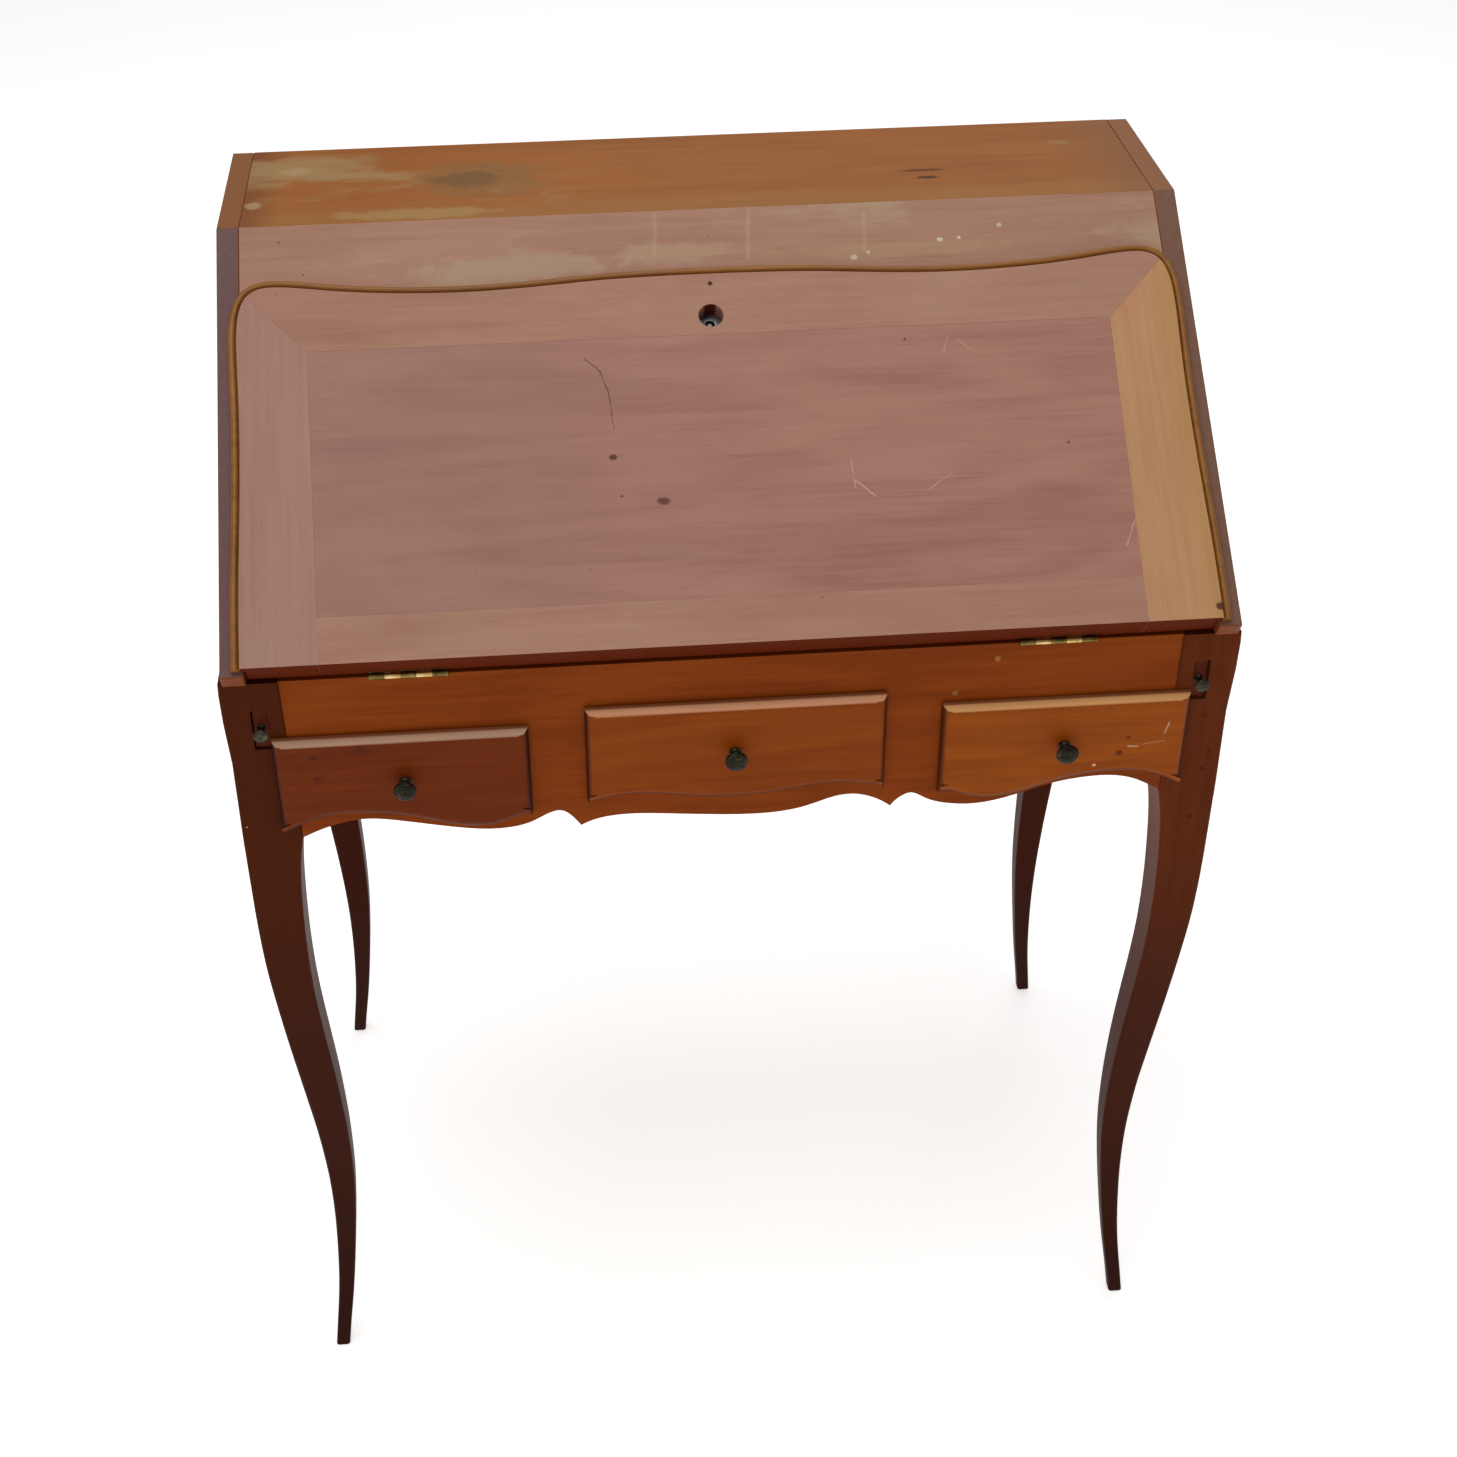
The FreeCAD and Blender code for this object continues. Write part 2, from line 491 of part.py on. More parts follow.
# ----------------------------------------------------------------- hinges ---
for lr, sx in (("left", -1), ("right", 1)):
    x0 = sx * P["hinge_centre"] - P["hinge_length"] / 2
    seg = P["hinge_length"] / 5
    for leaf, frame, lower in (("lower", AXIS, True), ("upper", HAX, False)):
        nm = "hinge_leaf_%s_%s" % (leaf, lr)
        th = P["hinge_leaf"]
        plate = box(nm + "_plate", x0, 0, -th if lower else 0, "@hinge_length", "@hinge_width", "@hinge_leaf", frame)
        own = (0, 2, 4) if lower else (1, 3)
        relief = [box("%s_relief_%d" % (nm, k), x0 + seg * k - 0.15, -4, -4, seg + 0.3, 6.9, 8, frame)
                  for k in range(5) if k not in own]
        barrel = [cyl("%s_knuckle_%d" % (nm, k), (x0 + seg * k + 0.1, 0, 0), (1, 0, 0), "@barrel_radius",
                      seg - 0.2, frame) for k in own]
        body = cut(nm + "_relieved", plate, fuse(nm + "_reliefs", relief))
        body = fuse(nm + "_joined", [body] + barrel)
        bore = cyl(nm + "_bore", (x0 - 1, 0, 0), (1, 0, 0), P["hinge_pin_radius"] + 0.05, P["hinge_length"] + 2, frame)
        body = cut(nm + "_bored", body, bore)
        node(cut(nm + "_drilled", body, low_screws if lower else up_screws), nm)
pins = [cyl("hinge_pin_" + lr, (sx * P["hinge_centre"] - P["hinge_length"] / 2, 0, 0), (1, 0, 0),
            "@hinge_pin_radius", "@hinge_length", AXIS) for lr, sx in (("left", -1), ("right", 1))]
node(fuse("hinge_pins_group", pins), "hinge_pins")

# ------------------------------------------------------------------- lock ---
lw = P["lock_wall"]
lz0 = -P["fall_body_thick"] + 0.1
l0 = s_top + 0.3
ld = P["lock_depth"]
case = box("lock_case_block", -lh, -l0 - ld, lz0 + lw, 2 * lh, ld, P["lock_thick"] - lw, SLOPE)
hollow = box("lock_case_hollow", -lh + lw, -l0 - ld + lw, lz0, 2 * lh - 2 * lw, ld - 2 * lw,
             P["lock_thick"] - lw, SLOPE)
mouth = box("lock_case_mouth", -P["bolt_half_width"] - 0.3, -l0 - lw - 0.5, lz0 + lw - 1,
            2 * P["bolt_half_width"] + 0.6, lw + 3, P["bolt_thick"] + 1.7, SLOPE)
kh = cyl("lock_keyhole", (0, -ks, -20), (0, 0, 1), 4.2, 30, SLOPE)
kslot = box("lock_key_slot", -1.4, -ks - 10.0, -20, 2.8, 10.0, 30, SLOPE)
node(cut("lock_case_solid", case, fuse("lock_case_tools", [hollow, mouth, kh, kslot])), "lock_case")
cap = box("lock_cap_blank", -lh, -l0 - ld, lz0, 2 * lh, ld, lw, SLOPE)
pin = cyl("lock_drill_pin", (0, -ks, lz0), (0, 0, 1), 1.8, P["lock_thick"] - 0.4, SLOPE)
node(fuse("lock_cap_group", [cap, pin]), "lock_cap_plate")
node(box("lock_bolt_box", -P["bolt_half_width"], -l0 - P["bolt_length"], lz0 + lw + 0.3,
         2 * P["bolt_half_width"], P["bolt_length"] - 0.2, P["bolt_thick"], SLOPE), "lock_bolt")


# ---------------------------------------------------------------- drawers ---
def knob(name, R, L, shank_len, x, y, z):
    """Turned metal knob: round foot, waisted neck, shallow domed head and a
    threaded shank behind the foot.  Local Z points to the front."""
    k = R / 9.0
    prof = [("L", (0, -shank_len), (P["shank_radius"], -shank_len)),
            ("L", (P["shank_radius"], -shank_len), (P["shank_radius"], 0)),
            ("L", (P["shank_radius"], 0), (6.2 * k, 0)),
            ("L", (6.2 * k, 0), (6.2 * k, 1.2 * k)),
            ("S", [(6.2 * k, 1.2 * k), (4.3 * k, 2.6 * k), (3.6 * k, L * 0.42), (4.6 * k, L * 0.60),
                   (R - 0.9 * k, L - 4.4 * k)]),
            ("S", [(R - 0.9 * k, L - 4.4 * k), (R, L - 3.1 * k), (R - 0.7 * k, L - 1.9 * k)]),
            ("S", [(R - 0.7 * k, L - 1.9 * k), (R * 0.55, L - 0.7 * k), (1.6 * k, L - 0.35 * k), (0, L)]),
            ("L", (0, L), (0, -shank_len))]
    return revolved(name, prof, FreeCAD.Placement(V(x, y, z), FreeCAD.Rotation(V(1, 0, 0), 90)))


OUTER_EDGE = [(161.8, 619.0), (168.0, 620.3), (180.0, 616.3), (203.0, 611.6), (226.0, 614.8), (250.0, 622.4),
              (276.0, 628.6), (300.0, 630.6), (318.0, 629.8), (338.0, 624.4), (350.0, 618.6), (358.6, 613.8)]
MID_EDGE = [(-118.2, 627.6), (-102.0, 632.0), (-80.0, 634.0), (-50.0, 631.3), (-18.0, 627.3), (0, 626.9),
            (18.0, 627.3), (50.0, 631.6), (80.0, 634.5), (102.0, 631.8), (118.2, 627.4)]


def drawer(name, edge, top, x0, x1, z0, z1, kx, kz):
    """One drawer: lipped front, two sides, back, bottom and knob.  edge is the
    shaped lower edge of the lip, x0..x1 and z0..z1 the box behind it."""
    a, b = edge[0], edge[-1]
    top_a = a[0] + (0 if abs(a[0]) < 200 else math.copysign(1.0, a[0]))
    top_b = b[0] + (0 if abs(b[0]) < 200 else math.copysign(1.0, b[0]))
    wire = [("S", edge), ("L", b, (top_b, top)), ("L", (top_b, top), (top_a, top)), ("L", (top_a, top), a)]
    lip = padded(name + "_lip", "XZ_Plane", [wire], "@overlay_thick",
                 place=FreeCAD.Placement(V(0, YF - P["overlay_gap"], 0), FreeCAD.Rotation()))
    block = box(name + "_block", x0, YF - P["overlay_gap"], z0, x1 - x0,
                P["overlay_gap"] + P["front_block_thick"], z1 - z0)
    kn = knob(name + "_knob_body", P["knob_radius"], P["knob_length"], 14.0, kx,
              YF - P["overlay_gap"] - P["overlay_thick"], kz)
    node(cut(name + "_front_solid", fuse(name + "_front_blank", [lip, block]), kn), name + "_front")
    st, bl = P["drawer_side_thick"], P["drawer_box_length"]
    yy = YF + P["front_block_thick"]
    node(box(name + "_side_left_box", x0, yy, z0, "@drawer_side_thick", "@drawer_box_length", z1 - z0),
         name + "_side_left")
    node(box(name + "_side_right_box", x1 - st, yy, z0, "@drawer_side_thick", "@drawer_box_length", z1 - z0),
         name + "_side_right")
    node(box(name + "_back_box", x0 + st, yy + bl - st, z0 + 8.0, x1 - x0 - 2 * st, "@drawer_side_thick",
             z1 - z0 - 12.0), name + "_back")
    node(box(name + "_bottom_box", x0 + st, yy, z0 + 3.0, x1 - x0 - 2 * st, "@drawer_box_length",
             "@drawer_bottom_thick"), name + "_bottom")
    node(kn, name + "_knob")


z0, z1 = P["outer_open_low"] + 1.5, P["outer_open_high"] - 1.5
drawer("drawer_left", [(-a, b) for a, b in OUTER_EDGE][::-1], P["outer_front_top"],
       -P["outer_box_outer"], -P["outer_box_inner"], z0, z1, -259.5, 661.0)
drawer("drawer_middle", MID_EDGE, P["middle_front_top"], -P["middle_box_half"], P["middle_box_half"],
       P["middle_open_low"] + 1.5, P["middle_open_high"] - 1.5, -1.5, 672.0)
drawer("drawer_right", OUTER_EDGE, P["outer_front_top"], P["outer_box_inner"], P["outer_box_outer"],
       z0, z1, 260.5, 661.0)

# ----------------------------------------------------------------- lopers ---
for lr, sx in (("left", -1), ("right", 1)):
    yl = YF + P["loper_recess"]
    xc = sx * P["loper_centre"]
    bar = box("loper_%s_blank" % lr, "%d*@loper_centre-@loper_wide/2" % sx, yl, "@loper_low", "@loper_wide",
              "@loper_length", "@loper_high-@loper_low")
    gx = xc - sx * (P["loper_wide"] / 2 + 1)
    groove = box("loper_%s_groove" % lr, min(gx, gx + sx * 5.0), YF + 56.5, 707.6, 5.0, 257.0, 7.8)
    kn = knob("loper_%s_knob_body" % lr, P["loper_knob_radius"], P["loper_knob_length"], 10.0, xc, yl, 711.5)
    body = cut("loper_%s_grooved" % lr, bar, groove)
    node(cut("loper_%s_solid" % lr, body, kn), "loper_" + lr)
    node(kn, "loper_knob_" + lr)

# ------------------------------------------------------------------ write ---
doc.recompute()
bad = [o.Name for o in doc.Objects if "Invalid" in o.State or "Error" in o.State]
if bad:
    raise RuntimeError("failed objects: " + ", ".join(bad))
labels = [o.Label for o in NODES]
if len(set(labels)) != len(labels):
    raise RuntimeError("two nodes share a label")
if len(labels) > 60:
    raise RuntimeError("too many nodes: %d" % len(labels))
for o in NODES:
    if o.Shape.isNull() or not o.Shape.isValid() or o.Shape.Volume <= 0:
        raise RuntimeError("bad shape: " + o.Label)
os.makedirs("parts", exist_ok=True)
total = FreeCAD.BoundBox()
for o in NODES:
    o.Shape.exportStep(os.path.join("parts", o.Label + ".step"))
    total.add(o.Shape.BoundBox)
print("nodes", len(NODES), "slope", round(slope, 3))
print("box", [round(v, 2) for v in (total.XMin, total.YMin, total.ZMin, total.XMax, total.YMax, total.ZMax)])
for o in NODES:
    print(o.Label, len(o.Shape.Solids), round(o.Shape.Volume / 1000.0, 2))
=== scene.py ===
import bpy, bmesh, math, random
import numpy as np
from mathutils import Matrix, Vector, noise


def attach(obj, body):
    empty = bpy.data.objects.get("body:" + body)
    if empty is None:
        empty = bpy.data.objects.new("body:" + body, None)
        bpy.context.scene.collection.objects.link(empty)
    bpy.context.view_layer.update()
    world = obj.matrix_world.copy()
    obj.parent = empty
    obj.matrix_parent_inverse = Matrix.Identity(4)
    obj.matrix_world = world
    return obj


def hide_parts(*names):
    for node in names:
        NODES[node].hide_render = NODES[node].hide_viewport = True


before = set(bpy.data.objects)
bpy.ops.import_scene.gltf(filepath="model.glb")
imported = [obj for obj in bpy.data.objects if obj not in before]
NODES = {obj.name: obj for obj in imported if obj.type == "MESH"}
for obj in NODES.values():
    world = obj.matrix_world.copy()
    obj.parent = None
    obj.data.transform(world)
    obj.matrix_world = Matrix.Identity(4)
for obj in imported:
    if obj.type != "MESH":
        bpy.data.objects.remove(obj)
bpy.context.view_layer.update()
scene = bpy.context.scene
COL = scene.collection
MM = 0.001

# ------------------------------------------------------------ key numbers ---
# All lengths here are millimetres in the desk's own frame.
W, D, HT, ZB = 390.0, 458.3, 999.4, 755.0
YB = 239.9
YF = YB - D
TY = YB - 165.9
SLOPE = math.atan2(HT - 767.7, TY - (YF - 11.6))
CA, SA = math.cos(SLOPE), math.sin(SLOPE)


def slope_pt(x, s, h):
    """Point s down the slope and h out from it, in millimetres."""
    return (x, TY - s * CA - h * SA, HT - s * SA + h * CA)


# ----------------------------------------------------------------- camera ---
def rot(ax, deg):
    return Matrix.Rotation(math.radians(deg), 3, ax)


M = rot("Y", 3.7) @ rot("X", -34.1) @ rot("Z", -5.5)
right, forward, up = M.col[0], M.col[1], M.col[2]
cam_data = bpy.data.cameras.new("camera")
cam = bpy.data.objects.new("camera", cam_data)
COL.objects.link(cam)
cam.matrix_world = Matrix((
    (right[0], up[0], -forward[0], -0.1492),
    (right[1], up[1], -forward[1], -1.9179 + YB * MM),
    (right[2], up[2], -forward[2], 1.7156),
    (0, 0, 0, 1)))
cam_data.sensor_width = 36.0
cam_data.lens = 2289.4 / 1457 * 36
cam_data.shift_x = (728.5 - 680.0) / 1457
cam_data.shift_y = (700.0 - 728.5) / 1457
cam_data.clip_start, cam_data.clip_end = 0.05, 50
scene.camera = cam

scene.view_settings.view_transform = "Standard"
scene.view_settings.look = "None"


# ------------------------------------------------------------- mesh tools ---
def cubic(ts, ys):
    """Natural cubic spline through (ts, ys), as a function."""
    ts, ys = np.array(ts, float), np.array(ys, float)
    n = len(ts)
    h = np.diff(ts)
    A = np.zeros((n, n))
    r = np.zeros((n,) + ys.shape[1:])
    A[0, 0] = A[-1, -1] = 1.0
    for i in range(1, n - 1):
        A[i, i - 1], A[i, i], A[i, i + 1] = h[i - 1], 2 * (h[i - 1] + h[i]), h[i]
        r[i] = 3 * ((ys[i + 1] - ys[i]) / h[i] - (ys[i] - ys[i - 1]) / h[i - 1])
    c = np.linalg.solve(A, r)

    def f(t):
        i = int(np.clip(np.searchsorted(ts, t) - 1, 0, n - 2))
        d = t - ts[i]
        b = (ys[i + 1] - ys[i]) / h[i] - h[i] * (2 * c[i] + c[i + 1]) / 3
        return ys[i] + b * d + c[i] * d * d + (c[i + 1] - c[i]) / (3 * h[i]) * d ** 3
    return f


def curve_through(points, count):
    """count points along the smooth curve through the given 2-D points."""
    p = np.array(points, float)
    t = np.concatenate([[0], np.cumsum(np.linalg.norm(np.diff(p, axis=0), axis=1))])
    f = cubic(t, p)
    return [tuple(f(v)) for v in np.linspace(0, t[-1], count)]


def offset_open(points, d):
    """An open polyline moved sideways by d along its smooth normal."""
    p = np.array(points, float)
    t = np.gradient(p, axis=0)
    t /= np.linalg.norm(t, axis=1)[:, None]
    q = p + d * np.stack([-t[:, 1], t[:, 0]], axis=1)
    return [tuple(v) for v in q]


def offset_closed(points, d):
    """A closed anticlockwise polygon moved inwards by d, with mitred corners."""
    p = np.array(points, float)
    prev, nxt = np.roll(p, 1, axis=0), np.roll(p, -1, axis=0)
    a, b = p - prev, nxt - p
    a /= np.linalg.norm(a, axis=1)[:, None]
    b /= np.linalg.norm(b, axis=1)[:, None]
    na, nb = np.stack([-a[:, 1], a[:, 0]], 1), np.stack([-b[:, 1], b[:, 0]], 1)
    m = na + nb
    m /= (1 + (na * nb).sum(1))[:, None]
    return [tuple(v) for v in p + d * m]


def add_piece(name, verts, faces, body, mat, stand_for=(), angle=32.0):
    """Verts in millimetres in the desk's frame."""
    me = bpy.data.meshes.new(name)
    bm = bmesh.new()
    vs = [bm.verts.new((v[0] * MM, v[1] * MM, v[2] * MM)) for v in verts]
    for f in faces:
        try:
            bm.faces.new([vs[i] for i in f])
        except ValueError:
            pass
    bmesh.ops.remove_doubles(bm, verts=bm.verts, dist=1e-6)
    bmesh.ops.recalc_face_normals(bm, faces=bm.faces)
    for f in bm.faces:
        f.smooth = True
    bm.to_mesh(me)
    bm.free()
    me.set_sharp_from_angle(angle=math.radians(angle))
    ob = bpy.data.objects.new(name, me)
    COL.objects.link(ob)
    me.materials.append(mat)
    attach(ob, body)
    if stand_for:
        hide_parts(*stand_for)
    return ob


def weighted(ob):
    m = ob.modifiers.new("normals", "WEIGHTED_NORMAL")
    m.keep_sharp = True
    return ob


def refine(node, body, slot, mat, width=0.5, segments=2, name=None):
    """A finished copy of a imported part: welded, flat faces merged, every arris
    eased by width millimetres."""
    src = NODES[node]
    me = bpy.data.meshes.new((name or node) + "_finished")
    bm = bmesh.new()
    bm.from_mesh(src.data)
    bmesh.ops.remove_doubles(bm, verts=bm.verts, dist=2e-6)
    bmesh.ops.dissolve_limit(bm, angle_limit=math.radians(0.4), verts=bm.verts, edges=bm.edges)
    bmesh.ops.recalc_face_normals(bm, faces=bm.faces)
    if width:
        sharp = [e for e in bm.edges if len(e.link_faces) == 2 and e.calc_face_angle(0.0) > math.radians(28)]
        bmesh.ops.bevel(bm, geom=sharp, offset=width * MM, offset_type="OFFSET", segments=segments,
                        profile=0.5, affect="EDGES", clamp_overlap=True)
    for f in bm.faces:
        f.smooth = True
    bm.to_mesh(me)
    bm.free()
    me.set_sharp_from_angle(angle=math.radians(50 if width else 30))
    me.materials.append(mat)
    ob = bpy.data.objects.new((name or node) + "_finished", me)
    COL.objects.link(ob)
    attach(ob, body)
    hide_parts(node)
    return weighted(ob)


# -------------------------------------------------------------- materials ---
def srgb(r, g, b):
    def lin(c):
        c /= 255.0
        return c / 12.92 if c <= 0.04045 else ((c + 0.055) / 1.055) ** 2.4
    return (lin(r), lin(g), lin(b), 1.0)


class Nodes:
    def __init__(self, name):
        self.mat = bpy.data.materials.new(name)
        self.mat.use_nodes = True
        self.tree = self.mat.node_tree
        self.tree.nodes.clear()

    def put(self, socket, value):
        if isinstance(value, bpy.types.NodeSocket):
            self.tree.links.new(value, socket)
        else:
            socket.default_value = value

    def node(self, kind, ins=None, **props):
        n = self.tree.nodes.new(kind)
        for k, v in props.items():
            setattr(n, k, v)
        for k, v in (ins or {}).items():
            self.put(n.inputs[k], v)
        return n

    def math(self, op, a, b=0.0, clamp=False):
        return self.node("ShaderNodeMath", {0: a, 1: b}, operation=op, use_clamp=clamp).outputs[0]

    def vec(self, op, a, b=(0, 0, 0)):
        n = self.node("ShaderNodeVectorMath", {0: a}, operation=op)
        if op == "SCALE":
            self.put(n.inputs[3], b)
        elif op != "LENGTH":
            self.put(n.inputs[1], b)
        return n.outputs[1] if op in ("DOT_PRODUCT", "LENGTH") else n.outputs[0]

    def mix(self, fac, a, b, blend="MIX"):
        n = self.tree.nodes.new("ShaderNodeMix")
        n.data_type, n.blend_type = "RGBA", blend
        self.put(n.inputs[0], fac)
        self.put(n.inputs[6], a)
        self.put(n.inputs[7], b)
        return n.outputs[2]

    def noise(self, vector, scale, detail=4.0, rough=0.55, distortion=0.0, seed=0.0):
        n = self.node("ShaderNodeTexNoise", {"Vector": vector, "Scale": scale, "Detail": detail,
                                             "Roughness": rough, "Distortion": distortion},
                      noise_dimensions="4D")
        n.inputs["W"].default_value = seed
        return n.outputs[0]

    def step(self, v, lo, hi, a=0.0, b=1.0):
        n = self.node("ShaderNodeMapRange", {0: v, 1: lo, 2: hi, 3: a, 4: b}, interpolation_type="SMOOTHSTEP")
        return n.outputs[0]

    def finish(self, color, rough, bump=None, dist=0.0002, strength=0.3, metallic=0.0, coat=0.0,
               coat_rough=0.3, spec=0.5):
        b = self.node("ShaderNodeBsdfPrincipled", {"Base Color": color, "Roughness": rough})
        b.inputs["Metallic"].default_value = metallic
        b.inputs["Coat Weight"].default_value = coat
        b.inputs["Coat Roughness"].default_value = coat_rough
        b.inputs["Specular IOR Level"].default_value = spec
        if bump is not None:
            n = self.node("ShaderNodeBump", {"Height": bump})
            n.inputs["Strength"].default_value = strength
            n.inputs["Distance"].default_value = dist
            self.tree.links.new(n.outputs[0], b.inputs["Normal"])
        o = self.node("ShaderNodeOutputMaterial")
        self.tree.links.new(b.outputs[0], o.inputs[0])
        return self.mat


UP_NORMAL = (0.0, -SA, CA)
DOWN_SLOPE = (0.0, -CA, -SA)


def wood(name, base, dark, light, grain="X", slope=False, seed=0.0, rough=0.40, coat=0.10, ring=0.5,
         streak=0.5, pore=0.45, worn=None, worn_amt=0.0, worn_scale=6.0, edge=None, edge_amt=0.5,
         edge_r=0.0016, facing=None, facing_dir=(0, 0, 1), facing_lim=(0.35, 0.8), specks=0.35,
         marks=(), spots=(), bump=0.30, tone=None, worn_zone=None,
         faces=(), spec=0.3):
    g = Nodes(name)
    co = g.node("ShaderNodeTexCoord")
    P = co.outputs["Object"]
    q = P
    if slope:
        q = g.node("ShaderNodeMapping", {"Vector": P, "Rotation": (-SLOPE, 0, 0)}).outputs[0]
    across = 26.0
    scale = {"X": (1, across, across), "Y": (across, 1, across), "Z": (across, across, 1)}[grain]
    s1 = g.node("ShaderNodeMapping", {"Vector": q, "Scale": scale}).outputs[0]
    soft = g.node("ShaderNodeMapping", {"Vector": q, "Scale": tuple(1.0 if c == 1 else 7.0 for c in scale)}).outputs[0]
    fine = g.node("ShaderNodeMapping", {"Vector": q, "Scale": tuple(1.0 if c == 1 else 46.0 for c in scale)}).outputs[0]
    figure = g.noise(soft, 2.2, 3.0, 0.45, 0.25, seed)
    streaks = g.noise(s1, 9.0, 6.0, 0.62, 0.15, seed + 3.1)
    ringv = g.math("ADD", g.math("MULTIPLY", g.math("SINE", g.math("MULTIPLY", figure, 46.0)), 0.5), 0.5)
    pores = g.step(g.noise(fine, 24.0, 3.0, 0.6, 0.0, seed + 7.7), 0.60, 0.72)
    cloud = g.noise(P, 5.0, 3.0, 0.5, 0.0, seed + 1.3)
    v = g.math("ADD", g.math("ADD", g.math("MULTIPLY", figure, 0.34), g.math("MULTIPLY", cloud, 0.22)),
               g.math("ADD", g.math("MULTIPLY", ringv, 0.10 * ring),
                      g.math("ADD", g.math("MULTIPLY", streaks, 0.9 * streak), 0.45 * (0.5 - streak))))
    ramp = g.node("ShaderNodeValToRGB", {0: v})
    cr = ramp.color_ramp
    cr.elements[0].position, cr.elements[0].color = 0.30, srgb(*dark)
    cr.elements[1].position, cr.elements[1].color = 0.86, srgb(*light)
    mid = cr.elements.new(0.56)
    mid.color = srgb(*base)
    color = ramp.outputs[0]
    color = g.mix(g.math("MULTIPLY", pores, pore * 0.55), color, srgb(*[c * 0.55 for c in dark]))
    if tone:  # a slow change of hue along one direction: (axis vector, low, high, colour, amount)
        for d, lo, hi, tc, amount in tone:
            m = g.math("MULTIPLY", g.step(g.vec("DOT_PRODUCT", P, d), lo, hi), amount)
            color = g.mix(m, color, srgb(*tc))
    roughv = g.math("ADD", g.math("MULTIPLY", streaks, 0.16), rough - 0.08)
    if facing:
        fm = g.step(g.vec("DOT_PRODUCT", co.outputs["Normal"], facing_dir), *facing_lim)
        fc = g.mix(g.math("MULTIPLY", streaks, 0.55), srgb(*facing), srgb(*[c * 0.72 for c in facing]))
        color = g.mix(fm, color, fc)
    if worn:
        wn = g.noise(g.node("ShaderNodeMapping", {"Vector": q, "Scale": tuple(1.0 if c == 1 else 2.4 for c in scale)}).outputs[0],
                     worn_scale, 7.0, 0.62, 0.3, seed + 11.0)
        wm = g.step(wn, 0.50, 0.60)
        if worn_zone:
            d, zlo, zhi = worn_zone
            wm = g.math("MULTIPLY", wm, g.step(g.vec("DOT_PRODUCT", P, d), zlo, zhi))
        wm = g.math("MULTIPLY", wm, worn_amt)
        color = g.mix(wm, color, srgb(*worn))
        roughv = g.math("ADD", roughv, g.math("MULTIPLY", wm, 0.14))
    # Painted light and shade by face direction: each (colour, direction, low, high) entry mixes its colour in where the
    # normal points along the direction, for lighter tops, painted highlights and shaded undersides.
    for painted_light_col, fdir, flo, fhi in faces:
        fm = g.step(g.vec("DOT_PRODUCT", co.outputs["Normal"], fdir), flo, fhi)
        fc = g.mix(g.math("MULTIPLY", streaks, 0.7), srgb(*painted_light_col), srgb(*[c * 0.74 for c in painted_light_col]))
        color = g.mix(fm, color, fc)
    wob = g.noise(P, 60.0, 3.0, 0.6, 0.0, seed + 2.0)
    for centre, radius, col, amount in spots:
        d = g.vec("SUBTRACT", P, tuple(c * MM for c in centre))
        d = g.vec("DIVIDE", d, tuple(c * MM for c in radius))
        ln = g.math("ADD", g.vec("LENGTH", d), g.math("MULTIPLY", g.math("SUBTRACT", wob, 0.5), 1.6))
        m = g.math("MULTIPLY", g.math("SUBTRACT", 1.0, g.step(ln, 0.55, 1.05)), amount)
        color = g.mix(m, color, srgb(*col))
    if marks:
        wv = g.node("ShaderNodeTexNoise", {"Vector": P, "Scale": 55.0, "Detail": 2.0})
        wobble = g.vec("SCALE", g.vec("SUBTRACT", wv.outputs["Color"], (0.5, 0.5, 0.5)), 0.0035)
        pw = g.vec("ADD", P, wobble)
        for a, b, width, col, amount in marks:
            a, b = Vector(a) * MM, Vector(b) * MM
            ab = b - a
            pa = g.vec("SUBTRACT", pw, tuple(a))
            h = g.math("MULTIPLY", g.vec("DOT_PRODUCT", pa, tuple(ab / ab.length_squared)), 1.0, clamp=True)
            dd = g.vec("LENGTH", g.vec("SUBTRACT", pa, g.vec("SCALE", tuple(ab), h)))
            m = g.math("MULTIPLY", g.math("SUBTRACT", 1.0, g.step(dd, width * 0.15 * MM, width * 0.62 * MM)), amount * 0.72)
            color = g.mix(m, color, srgb(*col))
    if specks:
        vo = g.node("ShaderNodeTexVoronoi", {"Vector": P, "Scale": 38.0}, feature="F1")
        gate = g.step(g.noise(P, 11.0, 2.0, 0.5, 0.0, seed + 5.0), 0.52, 0.60)
        sm = g.math("MULTIPLY", g.math("SUBTRACT", 1.0, g.step(vo.outputs["Distance"], 0.025, 0.06)), gate)
        color = g.mix(g.math("MULTIPLY", sm, specks), color, srgb(48, 24, 16))
    # Pale arris colour: partly wear, partly painted highlight, as it is kept mostly to arrises facing up and faded on
    # those facing down.
    if edge:
        bv = g.node("ShaderNodeBevel", {"Radius": edge_r}, samples=4)
        geo = g.node("ShaderNodeNewGeometry")
        dot = g.vec("DOT_PRODUCT", bv.outputs[0], geo.outputs["Normal"])
        em = g.step(g.math("SUBTRACT", 1.0, dot), 0.03, 0.22)
        em = g.math("MULTIPLY", em, g.math("MULTIPLY", g.step(g.noise(P, 26.0, 4.0, 0.6, 0.0, seed + 9.0), 0.36, 0.6),
                                           edge_amt))
        em = g.math("MULTIPLY", em, g.step(g.vec("DOT_PRODUCT", co.outputs["Normal"], (0, 0, 1)), -0.35, 0.25, 0.12, 1.0))
        color = g.mix(em, color, srgb(*edge))
    hgt = g.math("SUBTRACT", g.math("MULTIPLY", streaks, 0.6), g.math("MULTIPLY", pores, 0.5))
    return g.finish(color, roughv, hgt, 0.00022, bump, coat=coat, coat_rough=0.28, spec=spec)


